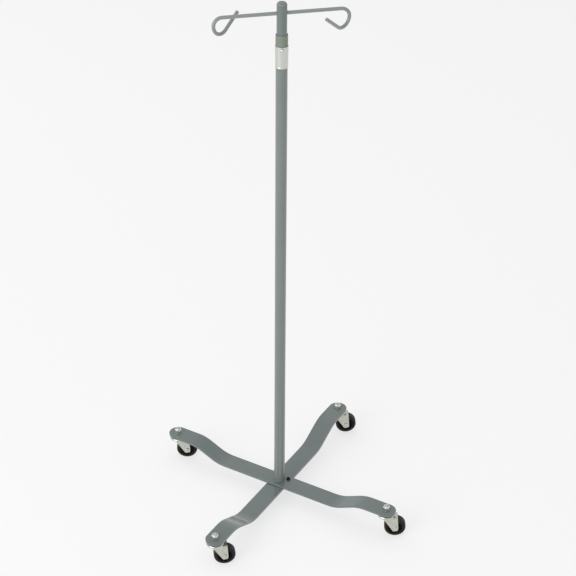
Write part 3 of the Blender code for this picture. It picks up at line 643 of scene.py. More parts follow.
def sweep_rod(name: str, line: Sequence[Vector], radius: float, sides: int, end_round: float,
              place: Matrix) -> bpy.types.Object:
    """Sweep a round rod along a line, with rounded ends.

    Args:
        name: The object's name.
        line: Centre line.
        radius: The rod's radius.
        sides: Facets round the rod.
        end_round: Radius of the ends' edges.
        place: Where the rod stands.

    Returns:
        The rod. Its UV map "turn" runs round it and, in metres, along it.
    """
    arc = [QUARTER_TURN * k / 4 for k in range(4)]
    first = (line[1] - line[0]).normalized()
    last = (line[-1] - line[-2]).normalized()
    starts = [(line[0] + first * end_round * (1 - math.cos(a)),
               radius - end_round * (1 - math.sin(a))) for a in arc]
    ends = [(line[-1] - last * end_round * (1 - math.cos(a)),
             radius - end_round * (1 - math.sin(a))) for a in reversed(arc)]
    inner = [(point, radius) for point in
             [line[0] + first * end_round, *line[1:-1], line[-1] - last * end_round]]
    stations = starts + inner + ends
    shape = bmesh.new()
    layer = shape.loops.layers.uv.new("turn")
    across = first.orthogonal().normalized()
    rings = []
    travels = [0.0]
    for i, (centre, reach) in enumerate(stations):
        ahead = stations[min(i + 1, len(stations) - 1)][0] - stations[max(i - 1, 0)][0]
        along = ahead.normalized()
        across = (across - along * across.dot(along)).normalized()
        side = along.cross(across)
        rings.append([shape.verts.new(centre + (across * math.cos(a) + side * math.sin(a)) * reach)
                      for a in (math.tau * k / sides for k in range(sides))])
        if i:
            travels.append(travels[-1] + (centre - stations[i - 1][0]).length)
    for i in range(len(rings) - 1):
        for k in range(sides):
            n = (k + 1) % sides
            face = shape.faces.new([rings[i][k], rings[i + 1][k], rings[i + 1][n], rings[i][n]])
            turns = [(k, i), (k, i + 1), (k + 1, i + 1), (k + 1, i)]
            for loop, (turn, at) in zip(face.loops, turns):
                loop[layer].uv = (turn / sides, travels[at])
    shape.faces.new(rings[0])
    shape.faces.new(rings[-1])
    return solid(name, shape, place)


def cut(item: bpy.types.Object, tool: bpy.types.Object) -> bpy.types.Object:
    """Cut an object with a tool and remove the tool."""
    modify(item, "BOOLEAN", object=tool, operation="DIFFERENCE", solver="EXACT")
    settle(item)
    bpy.data.objects.remove(tool, do_unlink=True)
    return item


def join(item: bpy.types.Object, other: bpy.types.Object) -> bpy.types.Object:
    """Weld a second object into the first, shell beside shell, and remove it."""
    with bpy.context.temp_override(active_object=item, object=item,
                                   selected_editable_objects=[item, other]):
        bpy.ops.object.join()
    return item


def rod_tool(radius: float, length: float, place: Matrix) -> bpy.types.Object:
    """Return a round cutter centred on its place, along its Z."""
    half = length / 2
    return revolve("tool", [(0, half), (radius, half), (radius, -half), (0, -half)], 32, place)


def circle(centre: tuple[float, float], radius: float, steps: int) -> list[tuple[float, float]]:
    """Return the points of a circle, in the plane of a blank."""
    return [(centre[0] + radius * math.cos(math.tau * k / steps),
             centre[1] + radius * math.sin(math.tau * k / steps)) for k in range(steps)]


def bend_blank(name: str, outlines: Sequence[Outline], cuts: Sequence[tuple[float, float]],
               bend: Callable[[float, float], Vector], sheet: float, edge: float,
               place: Matrix, sharp: float) -> bpy.types.Object:
    """Make a piece of bent sheet from its flat blank.

    The blank is filled, creased along straight lines and bent, and then gets its thickness and
    rounded edges.

    Args:
        name: The object's name.
        outlines: The blank's outline, and then the outlines of its holes.
        cuts: Lines across the blank, each an axis number and a distance along that axis.
        bend: Gives the place in space of a point on the blank's middle surface.
        sheet: Thickness.
        edge: Radius of the rounded edges.
        place: Where the piece stands.
        sharp: Angle in degrees past which an edge stays sharp.

    Returns:
        The bent piece. Its UV map "blank" holds the flat blank in metres.
    """
    shape = bmesh.new()
    for outline in outlines:
        ring = [shape.verts.new((x, y, 0)) for x, y in outline]
        for k, corner in enumerate(ring):
            shape.edges.new((corner, ring[(k + 1) % len(ring)]))
    bmesh.ops.triangle_fill(shape, use_beauty=True, edges=shape.edges)
    bmesh.ops.recalc_face_normals(shape, faces=shape.faces)
    if shape.faces[:] and shape.faces[:][0].normal.z < 0:
        bmesh.ops.reverse_faces(shape, faces=shape.faces)
    for axis, distance in cuts:
        normal = Vector((1, 0, 0)) if axis == 0 else Vector((0, 1, 0))
        bmesh.ops.bisect_plane(shape, geom=[*shape.verts, *shape.edges, *shape.faces],
                               plane_co=normal * distance, plane_no=normal, dist=1e-7)
    layer = shape.loops.layers.uv.new("blank")
    for face in shape.faces:
        for loop in face.loops:
            loop[layer].uv = loop.vert.co.xy
    for corner in shape.verts:
        corner.co = bend(corner.co.x, corner.co.y)
    bmesh.ops.dissolve_limit(shape, angle_limit=math.radians(0.1), verts=shape.verts,
                             edges=shape.edges)
    mesh = bpy.data.meshes.new(name)
    shape.to_mesh(mesh)
    shape.free()
    mesh.transform(place)
    item = link(name, mesh)
    modify(item, "SOLIDIFY", thickness=sheet, offset=0.0, use_even_offset=True,
           use_quality_normals=True)
    modify(item, "BEVEL", width=edge, segments=3, limit_method="ANGLE",
           angle_limit=math.radians(50), miter_outer="MITER_ARC")
    return shade(settle(item), sharp)


# --- Repeated shapes, made by node trees -----------------------------------------------------


def size_tree(name: str, sizes: dict[str, tuple[str, Any]]
              ) -> tuple[bpy.types.NodeTree, bpy.types.Node]:
    """Start a geometry tree that has named inputs for its sizes and its material.

    Args:
        name: The tree's name.
        sizes: Each input's name, with its kind and its usual value.

    Returns:
        The tree and its input node.
    """
    tree = bpy.data.node_groups.new(name, "GeometryNodeTree")
    tree.interface.new_socket("Geometry", in_out="INPUT", socket_type="NodeSocketGeometry")
    tree.interface.new_socket("Geometry", in_out="OUTPUT", socket_type="NodeSocketGeometry")
    for label, (kind, value) in sizes.items():
        socket = tree.interface.new_socket(label, in_out="INPUT", socket_type="NodeSocket" + kind)
        socket.default_value = value
    tree.interface.new_socket("Material", in_out="INPUT", socket_type="NodeSocketMaterial")
    return tree, add(tree, "NodeGroupInput")


def close_tree(tree: bpy.types.NodeTree, inputs: bpy.types.Node,
               geometry: bpy.types.NodeSocket, smooth: bool) -> bpy.types.NodeTree:
    """End a tree in real geometry with its material set."""
    real = add(tree, "GeometryNodeRealizeInstances", {}, {"Geometry": geometry})
    shaded = add(tree, "GeometryNodeSetShadeSmooth", {},
                 {"Geometry": real.outputs["Geometry"], "Shade Smooth": smooth})
    dressed = add(tree, "GeometryNodeSetMaterial", {}, {
        "Geometry": shaded.outputs["Geometry"], "Material": inputs.outputs["Material"]})
    add(tree, "NodeGroupOutput", {}, {"Geometry": dressed.outputs["Geometry"]})
    return tree


@lru_cache(maxsize=None)
def ball_ring_tree() -> bpy.types.NodeTree:
    """Return the tree that lays balls round a raceway."""
    tree, inputs = size_tree("ball_ring", {
        "Count": ("Int", 22), "Circle Radius": ("Float", 0.0135), "Ball Radius": ("Float", 0.0016)})
    track = add(tree, "GeometryNodeMeshCircle", {"fill_type": "NONE"}, {
        "Vertices": inputs.outputs["Count"], "Radius": inputs.outputs["Circle Radius"]})
    ball = add(tree, "GeometryNodeMeshUVSphere", {}, {
        "Segments": 14, "Rings": 9, "Radius": inputs.outputs["Ball Radius"]})
    laid = add(tree, "GeometryNodeInstanceOnPoints", {}, {
        "Points": track.outputs["Mesh"], "Instance": ball.outputs["Mesh"]})
    return close_tree(tree, inputs, laid.outputs["Instances"], True)


@lru_cache(maxsize=None)
def rib_ring_tree() -> bpy.types.NodeTree:
    """Return the tree that stands straight ribs round an axis, their length along the radius."""
    tree, inputs = size_tree("rib_ring", {
        "Count": ("Int", 6), "Circle Radius": ("Float", 0.01), "Length": ("Float", 0.008),
        "Width": ("Float", 0.0016), "Height": ("Float", 0.01)})
    track = add(tree, "GeometryNodeMeshCircle", {"fill_type": "NONE"}, {
        "Vertices": inputs.outputs["Count"], "Radius": inputs.outputs["Circle Radius"]})
    size = add(tree, "ShaderNodeCombineXYZ", {}, {
        "X": inputs.outputs["Length"], "Y": inputs.outputs["Width"],
        "Z": inputs.outputs["Height"]})
    rib = add(tree, "GeometryNodeMeshCube", {}, {
        "Size": size.outputs["Vector"], "Vertices X": 2, "Vertices Y": 2, "Vertices Z": 2})
    where = add(tree, "GeometryNodeInputPosition")
    turn = add(tree, "FunctionNodeAlignRotationToVector", {"axis": "X"},
               {"Vector": where.outputs["Position"]})
    stood = add(tree, "GeometryNodeInstanceOnPoints", {}, {
        "Points": track.outputs["Mesh"], "Instance": rib.outputs["Mesh"],
        "Rotation": turn.outputs["Rotation"]})
    return close_tree(tree, inputs, stood.outputs["Instances"], False)


@lru_cache(maxsize=None)
def thread_tree() -> bpy.types.NodeTree:
    """Return the tree that winds a screw thread's ridge up a shank."""
    tree, inputs = size_tree("screw_thread", {
        "Turns": ("Float", 3.0), "Radius": ("Float", 0.0045), "Length": ("Float", 0.004),
        "Ridge": ("Float", 0.0007)})
    helix = add(tree, "GeometryNodeCurveSpiral", {}, {
        "Resolution": 40, "Rotations": inputs.outputs["Turns"],
        "Start Radius": inputs.outputs["Radius"], "End Radius": inputs.outputs["Radius"],
        "Height": inputs.outputs["Length"]})
    ridge = add(tree, "GeometryNodeCurvePrimitiveCircle", {"mode": "RADIUS"}, {
        "Resolution": 4, "Radius": inputs.outputs["Ridge"]})
    wound = add(tree, "GeometryNodeCurveToMesh", {}, {
        "Curve": helix.outputs["Curve"], "Profile Curve": ridge.outputs["Curve"],
        "Fill Caps": True})
    return close_tree(tree, inputs, wound.outputs["Mesh"], False)


def grow(name: str, tree: bpy.types.NodeTree, sizes: dict[str, Any], finish: Finish,
         place: Matrix) -> bpy.types.Object:
    """Make an object from a node tree with sizes of its own.

    Args:
        name: The object's name.
        tree: The tree that makes it.
        sizes: Values of the tree's named inputs.
        finish: What it is made of.
        place: Where it stands.

    Returns:
        The object as a plain mesh with its place in it.
    """
    item = link(name, bpy.data.meshes.new(name))
    modifier = item.modifiers.new("Nodes", "NODES")
    modifier.node_group = tree
    values = {**sizes, "Material": finish.material()}
    for socket in tree.interface.items_tree:
        if socket.item_type == "SOCKET" and socket.in_out == "INPUT" and socket.name in values:
            modifier[socket.identifier] = values[socket.name]
    settle(item)
    item.data.transform(place)
    return item


# --- The frame -------------------------------------------------------------------------------


def low(node: str) -> Vector:
    """Return a node's lowest corner."""
    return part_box(node)[0]


def high(node: str) -> Vector:
    """Return a node's highest corner."""
    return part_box(node)[1]


def middle(node: str) -> Vector:
    """Return the middle of a node's box."""
    return (low(node) + high(node)) / 2


def node_radius(node: str) -> float:
    """Return the radius of an upright round node."""
    return (high(node).x - low(node).x) / 2


def upright(point: Vector) -> Matrix:
    """Return the place of the upright axis through a point, at the floor."""
    return Matrix.Translation((point.x, point.y, 0))


def joint(name: str) -> dict[str, Any]:
    """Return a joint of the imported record."""
    return next(j for j in frame["joints"] if j["name"] == name)


def fit(item: bpy.types.Object, body: str, finish: Finish, *nodes: str) -> bpy.types.Object:
    """Dress a piece, let it ride on its body and let it stand for CAD nodes.

    Args:
        item: The piece.
        body: The body that it moves with.
        finish: What it is made of.
        nodes: The CAD nodes that it stands for.

    Returns:
        The piece.
    """
    item.data.materials.clear()
    item.data.materials.append(finish.material())
    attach(item, body)
    if nodes:
        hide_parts(*nodes)
    LOG.info("%s rides on %s in %s, %d faces", item.name, body, finish.name,
             len(item.data.polygons))
    return item


def dress_node(node: str, finish: Finish) -> None:
    """Give a CAD node that stays its finish."""
    item = frame["nodes"][node]
    item.data.materials.clear()
    item.data.materials.append(finish.material())
    LOG.info("%s stays, in %s", node, finish.name)


def pole_axis(height: float = 0.0) -> Vector:
    """Return the point of the pole's axis at a height."""
    centre = middle("outer_tube")
    return Vector((centre.x, centre.y, height))


def from_flat(angle: float) -> float:
    """Return the angle from the middle of a hexagon's nearest flat."""
    return (angle + SIXTH_TURN / 2) % SIXTH_TURN - SIXTH_TURN / 2


def hexagon(flats: float, foot: float, top: float) -> Warp:
    """Return the warp that makes a turned outline a chamfered hexagon.

    Args:
        flats: Size across the flats.
        foot: Height of the lower face.
        top: Height of the upper face.

    Returns:
        A function that holds a radius within the hexagon and its chamfer cones.
    """
    def reach(radius: float, height: float, angle: float) -> float:
        """Hold a radius within the hexagon."""
        if not foot - 1e-7 <= height <= top + 1e-7:
            return radius
        face = flats / 2 * 0.95
        cone = face + min(top - height, height - foot) / math.tan(math.radians(30))
        return min(radius, flats / 2 / math.cos(from_flat(angle)), cone)
    return reach


def hex_outline(flats: float, foot: float, top: float) -> list[tuple[float, float]]:
    """Return the outer side of a hexagon's outline, with rows that follow its chamfers."""
    corner = flats / math.sqrt(3)
    rows = [0.0, 0.1 * MM, 0.2 * MM, 0.35 * MM, 0.5 * MM, 0.7 * MM, 0.9 * MM]
    return [(corner, top - d) for d in rows] + [(corner, foot + d) for d in reversed(rows)]


def hex_nut(name: str, node: str, flats: float, bore: float, place: Vector) -> bpy.types.Object:
    """Make a chamfered hexagon nut where a CAD node stands.

    Args:
        name: The object's name.
        node: The CAD node that gives its heights.
        flats: Size across the flats.
        bore: Radius of its hole.
        place: A point on its axis.

    Returns:
        The nut.
    """
    foot = low(node).z
    top = high(node).z
    mouth = 0.5 * MM
    outline = hex_outline(flats, foot, top) + [
        (bore + mouth, foot), (bore, foot + mouth), (bore, top - mouth), (bore + mouth, top)]
    return revolve(name, outline, 96, upright(place), warp=hexagon(flats, foot, top),
                   sharp=HEXAGON_SHARP)


def washer(name: str, node: str, radius: float, bore: float) -> bpy.types.Object:
    """Make a flat washer with eased edges where a CAD node stands."""
    foot = low(node).z
    top = high(node).z
    outline = flat_ring(radius, bore, foot, top, [(top - foot) * 0.25] * 4)
    return revolve(name, outline, 64, upright(middle(node)))


def tube(name: str, node: str, wall: float, sides: int) -> bpy.types.Object:
    """Make a tube with eased ends where an upright CAD tube stands on the pole's axis."""
    radius = node_radius(node)
    outline = flat_ring(radius, radius - wall, low(node).z, high(node).z, [0.3 * MM] * 4)
    return revolve(name, outline, sides, Matrix.Translation(pole_axis()))


# --- Sub-assemblies --------------------------------------------------------------------------


@dataclass
class LegCross:
    """The two crossed flat bars, the upper one along X and the lower one along Y."""

    width: float = 44.45 * MM
    thickness: float = 4.76 * MM
    ramp_from_stem: float = 96.6 * MM
    ramp_angle: float = math.radians(24.6)
    bend_radius: float = 85.0 * MM
    edge: float = 0.9 * MM
    stem_hole: float = 5.05 * MM
    bolt_hole: float = 4.3 * MM
    screw_hole: float = 2.8 * MM
    end_chords: int = 32
    hole_chords: int = 24
    bend_chords: int = 12
    sharp: float = 12.0         # degrees past which an edge stays sharp

    def build(self) -> None:
        """Make both bars."""
        self.bar("upper_bar", "upper_leg_bar", Leg.RIGHT, 0.0)
        self.bar("lower_bar", "lower_leg_bar", Leg.BACK, QUARTER_TURN)

    def bar(self, name: str, node: str, leg: Leg, turn: float) -> bpy.types.Object:
        """Make one bar from its flat blank.

        Args:
            name: The piece's name.
            node: The CAD node that it stands for.
            leg: A leg at the bar's far end.
            turn: The bar's direction about the pole.

        Returns:
            The bar.
        """
        axis = pole_axis()
        stem = Vector(joint(f"caster_swivel_{leg.value}")["pos_m"]) - axis
        reach = stem.xy.length
        floor = low(node).z + self.thickness / 2
        rise = high(node).z - low(node).z - self.thickness
        stations, route = self.route(reach - self.ramp_from_stem, rise)
        far = stations[-1] + reach - route(stations[-1]).x
        half = self.width / 2
        outline = [(far * side + half * math.cos(a), half * math.sin(a))
                   for side, start in ((1, -QUARTER_TURN), (-1, QUARTER_TURN))
                   for a in (start + math.pi * k / self.end_chords
                             for k in range(self.end_chords + 1))]
        screw = Matrix.Rotation(-turn, 3, "Z") @ (middle("locating_screw") - axis)
        holes = [circle(centre, radius, self.hole_chords) for centre, radius in (
            ((far, 0), self.stem_hole), ((-far, 0), self.stem_hole), ((0, 0), self.bolt_hole),
            ((screw.x, screw.y), self.screw_hole))]
        creases = [(0, side * at) for at in self.crease_marks(stations, far) for side in (1, -1)]

        def bend(along: float, across: float) -> Vector:
            """Place a point of the blank on the bent bar."""
            at = route(abs(along))
            return Vector((math.copysign(at.x, along), across, floor + at.y))

        place = Matrix.Translation(axis) @ Matrix.Rotation(turn, 4, "Z")
        made = bend_blank(name, [outline, *holes], creases, bend, self.thickness, self.edge, place,
                          self.sharp)
        return fit(made, Body.BASE.value, ENAMEL, node)

    def route(self, ramp_middle: float, rise: float
              ) -> tuple[list[float], Callable[[float], Vector]]:
        """Work out how the bar rises from its middle to its end.

        Args:
            ramp_middle: Distance from the pole to the middle of the ramp.
            rise: Height of the end over the middle.

        Returns:
            The lengths at which the bends start and end, and a function from the length along
            the blank to the distance and the height.
        """
        run = rise / math.tan(self.ramp_angle) / 2
        tangent = self.bend_radius * math.tan(self.ramp_angle / 2)
        arc = self.bend_radius * self.ramp_angle
        slope = Vector((math.cos(self.ramp_angle), math.sin(self.ramp_angle)))
        first = ramp_middle - run - tangent
        second = first + arc
        third = second + rise / slope.y - 2 * tangent
        fourth = third + arc
        low_corner = Vector((ramp_middle - run, 0.0))
        high_corner = Vector((ramp_middle + run, rise))

        def at(length: float) -> Vector:
            """Return the distance and the height at a length along the blank."""
            if length <= first:
                return Vector((length, 0.0))
            if length <= second:
                angle = (length - first) / self.bend_radius
                return Vector((first, 0.0)) + self.bend_radius * Vector(
                    (math.sin(angle), 1 - math.cos(angle)))
            if length <= third:
                return low_corner + slope * (tangent + length - second)
            if length <= fourth:
                angle = (fourth - length) / self.bend_radius
                return high_corner + Vector((tangent, 0.0)) - self.bend_radius * Vector(
                    (math.sin(angle), 1 - math.cos(angle)))
            return high_corner + Vector((tangent + length - fourth, 0.0))
        return [first, second, third, fourth], at

    def crease_marks(self, stations: Sequence[float], far: float) -> list[float]:
        """Return the lengths at which the blank is creased, close together in the bends."""
        first, second, third, fourth = stations
        bends = [start + (end - start) * k / self.bend_chords
                 for start, end in ((first, second), (third, fourth))
                 for k in range(self.bend_chords + 1)]
        return bends + [first * k / 5 for k in range(1, 5)] + [(second + third) / 2, far]


@dataclass
class PoleFoot:
    """What holds the pole on the cross, and the screw that keeps the cross square."""

    bolt_flats: float = 13.0 * MM
    bolt_head: float = 5.3 * MM
    bolt_radius: float = 4.0 * MM
    washer_radius: float = 8.5 * MM
    screw_head_radius: float = 4.25 * MM
    screw_head: float = 5.0 * MM
    screw_radius: float = 2.5 * MM
    socket_flats: float = 4.0 * MM
    socket_depth: float = 2.5 * MM
    knurls: int = 32
    knurl: float = 0.36 * MM
    nut_flats: float = 8.0 * MM
    ease: float = 0.6 * MM      # bevel at the end of a thread

    def build(self) -> None:
        """Make the bolt, its washer, the screw and its nut."""
        self.bolt()
        fit(washer("bolt_washer", "pole_bolt_washer", self.washer_radius,
                   self.bolt_radius + GAP), Body.BASE.value, ZINC, "pole_bolt_washer")
        self.screw()
        fit(hex_nut("cross_nut", "locating_nut", self.nut_flats, self.screw_radius + GAP,
                    middle("locating_screw")), Body.BASE.value, ZINC, "locating_nut")
        dress_node("pole_plug", STEEL)

    def bolt(self) -> bpy.types.Object:
        """Make the hexagon bolt that stands in the pole's foot."""
        foot = low("pole_bolt").z
        seat = foot + self.bolt_head
        tip = high("pole_bolt").z
        outline = [(0, tip), (self.bolt_radius - self.ease, tip),
                   (self.bolt_radius, tip - self.ease), (self.bolt_radius, seat)]
        outline += hex_outline(self.bolt_flats, foot, seat) + [(0, foot)]
        made = revolve("pole_bolt_hex", outline, 96, Matrix.Translation(pole_axis()),
                       warp=hexagon(self.bolt_flats, foot, seat), sharp=HEXAGON_SHARP)
        return fit(made, Body.BASE.value, ZINC, "pole_bolt")

    def screw(self) -> bpy.types.Object:
        """Make the socket cap screw with its knurled head."""
        axis = middle("locating_screw")
        tip = low("locating_screw").z
        top = high("locating_screw").z
        seat = top - self.screw_head
        floor = top - self.socket_depth
        corner = self.socket_flats / math.sqrt(3)
        rim = corner + 0.25 * MM
        head = section([(rim, top), (self.screw_head_radius, top),
                        (self.screw_head_radius, seat), (self.screw_radius, seat)],
                       [0, self.ease, 0.2 * MM, 0], 4)
        outline = [(0, floor), (corner, floor), (corner, top - 0.25 * MM)] + head + [
            (self.screw_radius, tip + self.ease), (self.screw_radius - self.ease, tip), (0, tip)]

        def socket(radius: float, height: float, angle: float) -> float:
            """Press the wall of the socket into a hexagon."""
            is_wall = height >= floor - 1e-6 and radius <= corner + 1e-6
            hollow = math.cos(SIXTH_TURN / 2) / math.cos(from_flat(angle))
            return radius * hollow if is_wall else radius

        place = upright(axis)
        made = revolve("cross_screw", outline, 72, place, warp=socket, sharp=HEXAGON_SHARP)
        knurl_length = self.screw_head * 0.62
        ring = grow("cross_screw_knurl", rib_ring_tree(), {
            "Count": self.knurls, "Circle Radius": self.screw_head_radius, "Length": self.knurl,
            "Width": self.knurl, "Height": knurl_length}, OXIDE,
            place @ Matrix.Translation((0, 0, seat + knurl_length / 2 + 0.5 * MM)))
        fit(ring, Body.BASE.value, OXIDE)
        return fit(made, Body.BASE.value, OXIDE, "locating_screw")


@dataclass
class OuterPole:
    """The fixed tube, its tapered lock sleeve and the sleeve's pin."""

    wall: float = 1.24 * MM
    sleeve_top_wall: float = 1.15 * MM
    sleeve_foot_wall: float = 0.55 * MM
    lip: float = 0.3 * MM
    lip_height: float = 2.6 * MM
    mouth_flare: float = 0.25 * MM
    pin_radius: float = 1.5 * MM
    pin_head_radius: float = 3.2 * MM
    pin_head: float = 1.7 * MM
    pin_clearance: float = 0.7 * MM
    sides: int = 96

    @property
    def radius(self) -> float:
        """The tube's outer radius."""
        return node_radius("outer_tube")

    @property
    def sleeve_bore(self) -> float:
        """The sleeve's inner radius."""
        return self.radius + GAP

    def build(self) -> None:
        """Make the tube, the sleeve and the pin."""
        # The fixed tube's enamel is painted lighter than the bars': painted light.
        fit(tube("fixed_tube", "outer_tube", self.wall, self.sides), Body.BASE.value,
            LIGHTER_TUBE_ENAMEL, "outer_tube")
        self.sleeve(high("outer_tube").z)
        self.pin()

    def sleeve(self, tube_top: float) -> bpy.types.Object:
        """Make the plated sleeve, wider at its mouth, with a rolled lip at its foot."""
        top = high("lock_sleeve").z
        foot = low("lock_sleeve").z
        bore = self.sleeve_bore
        mouth = bore + self.mouth_flare
        wide = bore + self.sleeve_top_wall
        slim = bore + self.sleeve_foot_wall
        lip = slim + self.lip
        outline = section([
            (wide, top), (slim, foot + self.lip_height + 2 * self.lip),
            (lip, foot + self.lip_height - self.lip), (lip, foot), (bore, foot),
            (bore, tube_top + GAP), (mouth, top)],
            [0.45 * MM, 0.5 * MM, 0.5 * MM, 0.5 * MM, 0.2 * MM, 0, 0.2 * MM], 5, closed=True)
        made = revolve("plated_sleeve", outline, self.sides, Matrix.Translation(pole_axis()))
        reach = Matrix.Translation((0, 0, wide))
        shade(cut(made, rod_tool(self.pin_head_radius + self.pin_clearance, self.radius,
                                 self.pin_place() @ reach)))
        return fit(made, Body.BASE.value, CHROME, "lock_sleeve")

    def pin_place(self) -> Matrix:
        """Return the place of the pin's axis, which points out of the sleeve along its Z."""
        centre = middle("lock_pin")
        out = (centre - pole_axis(centre.z)).normalized()
        turn = Vector((0, 0, 1)).rotation_difference(out).to_matrix().to_4x4()
        return Matrix.Translation(pole_axis(centre.z)) @ turn

    def pin(self) -> bpy.types.Object:
        """Make the domed pin."""
        seat = self.sleeve_bore + self.sleeve_top_wall + GAP
        start = node_radius("inner_tube") + 2 * GAP
        arcs = [QUARTER_TURN * k / 10 for k in range(1, 10)]
        dome = [(self.pin_head_radius * math.sin(a),
                 seat + 0.3 * MM + (self.pin_head - 0.3 * MM) * math.cos(a)) for a in arcs]
        outline = [(0, seat + self.pin_head), *dome, (self.pin_head_radius, seat + 0.3 * MM),
                   (self.pin_head_radius - 0.15 * MM, seat), (self.pin_radius, seat),
                   (self.pin_radius, start + 0.3 * MM), (self.pin_radius - 0.3 * MM, start),
                   (0, start)]
        # The pin's chrome is painted near white: painted highlight.
        made = revolve("sleeve_pin", outline, 48, self.pin_place())
        return fit(made, Body.BASE.value, HIGHLIGHT_PIN_CHROME, "lock_pin")


@dataclass
class LockCollet:
    """The split collet with its ring-shaped head."""

    bore: float = 11.46 * MM
    wall: float = 1.6 * MM
    slit: float = 1.6 * MM
    pin_width: float = 3.6 * MM
    travel: float = 6.0 * MM
    running: float = 0.35 * MM
    shoulder: float = 1.3 * MM
    sides: int = 92

    def build(self, pole: OuterPole) -> bpy.types.Object:
        """Make the collet inside a pole's sleeve.

        Args:
            pole: The outer pole, whose sleeve and pin it fits.

        Returns:
            The collet.
        """
        foot = low("lock_collet").z
        top = high("lock_collet").z
        seat = high("lock_sleeve").z + GAP
        head = self.bore + self.wall
        skirt_top = pole.sleeve_bore + pole.mouth_flare - self.running
        skirt_foot = pole.sleeve_bore - self.running
        groove = 0.25 * MM
        outline = section([
            (head, top), (head, seat + 1.6 * MM), (head - groove, seat + 1.1 * MM),
            (head - groove, seat + 0.7 * MM), (head, seat + 0.4 * MM), (head, seat),
            (skirt_top, seat - GAP), (skirt_foot, foot), (self.bore, foot), (self.bore, top)],
            [self.shoulder, 0.1 * MM, 0.1 * MM, 0.1 * MM, 0.05 * MM, 0.1 * MM, 0, 0.3 * MM,
             0.2 * MM, 0.2 * MM], 4, closed=True)
        pin = pole.pin_place()
        out = pin.to_3x3() @ Vector((0, 0, 1))
        opening = self.slit / (self.bore + self.wall / 2)
        start = math.atan2(-out.y, -out.x) + opening / 2
        place = Matrix.Translation(pole_axis()) @ Matrix.Rotation(start, 4, "Z")
        made = revolve("split_collet", outline, self.sides, place, sweep=math.tau - opening)
        slot = bmesh.new()
        size = (head * 1.2, self.pin_width, self.pin_width + self.travel)
        across = (Matrix.Translation(pole_axis(pin.translation.z - self.travel / 2))
                  @ Matrix.Rotation(math.atan2(out.y, out.x), 4, "Z")
                  @ Matrix.Translation((head * 1.1, 0, 0)))
        bmesh.ops.create_cube(slot, size=1.0, matrix=across @ Matrix.Diagonal((*size, 1.0)))
        shade(cut(made, solid("slot", slot)))
        return fit(made, Body.COLLET.value, COLLET_NYLON, "lock_collet")


@dataclass
class InnerPole:
    """The sliding tube with its bush, its double hook and its cap."""

    wall: float = 1.24 * MM
    rod_radius: float = 3.95 * MM
    hook_direction: float = math.radians(41.7)
    hook_reach: float = 142.0 * MM
    hook_drop: float = 61.8 * MM
    hook_lean: float = -5.9 * MM
    hook_tip: tuple[float, float, float] = (85.1 * MM, 36.6 * MM, -5.1 * MM)
    hook_bends: tuple[float, float] = (18.2 * MM, 19.4 * MM)
    cap_height: float = 7.0 * MM
    cap_rounding: float = 6.4 * MM
    cap_spigot: float = 9.0 * MM
    sides: int = 96

    @property
    def radius(self) -> float:
        """The tube's outer radius."""
        return node_radius("inner_tube")

    def build(self) -> None:
        """Make the tube, the hook and the cap, and dress the bush."""
        rod_height = high("hook_rod").z - self.rod_radius
        self.tube(rod_height)
        self.hook(rod_height)
        self.cap()
        dress_node("guide_bush", WHITE_NYLON)

    def tube(self, rod_height: float) -> bpy.types.Object:
        """Make the tube with the hole that the hook rod passes through."""
        made = tube("sliding_tube", "inner_tube", self.wall, self.sides)
        lie = (Matrix.Translation(pole_axis(rod_height))
               @ Matrix.Rotation(self.hook_direction, 4, "Z")
               @ Matrix.Rotation(QUARTER_TURN, 4, "Y"))
        shade(cut(made, rod_tool(self.rod_radius + GAP, self.radius * 4, lie)))
        return fit(made, Body.INNER.value, ENAMEL, "inner_tube")

    def hook(self, rod_height: float) -> bpy.types.Object:
        """Make the bent rod, one hook made by half a turn of the other."""
        one = [(self.hook_reach, 0, 0), (self.hook_reach, -self.hook_lean, -self.hook_drop),
               (self.hook_tip[0], -self.hook_tip[1], self.hook_tip[2])]
        other = [(-x, -y, z) for x, y, z in reversed(one)]
        radii = [0, self.hook_bends[1], self.hook_bends[0], self.hook_bends[0],
                 self.hook_bends[1], 0]
        line = rounded(other + one, radii, 20)
        place = (Matrix.Translation(pole_axis(rod_height))
                 @ Matrix.Rotation(self.hook_direction, 4, "Z"))
        # The rod's enamel is painted lighter than the tube's: painted highlight.
        made = sweep_rod("double_hook", line, self.rod_radius, 32, 0.9 * MM, place)
        return fit(made, Body.INNER.value, HIGHLIGHT_ROD_ENAMEL, "hook_rod")

    def cap(self) -> bpy.types.Object:
        """Make the domed cap with its spigot."""
        seat = high("inner_tube").z + GAP
        spigot = self.radius - self.wall - GAP
        dome = section([(0, self.cap_height), (self.radius, self.cap_height), (self.radius, 0),
                        (spigot, 0)], [0, self.cap_rounding, 0.35 * MM, 0], 10)
        outline = [(r, seat + z) for r, z in dome] + [
            (spigot, seat - self.cap_spigot + 0.8 * MM),
            (spigot - 0.8 * MM, seat - self.cap_spigot), (0, seat - self.cap_spigot)]
        made = revolve("end_cap", outline, self.sides, Matrix.Translation(pole_axis()))
        return fit(made, Body.INNER.value, CAP_VINYL, "top_cap")


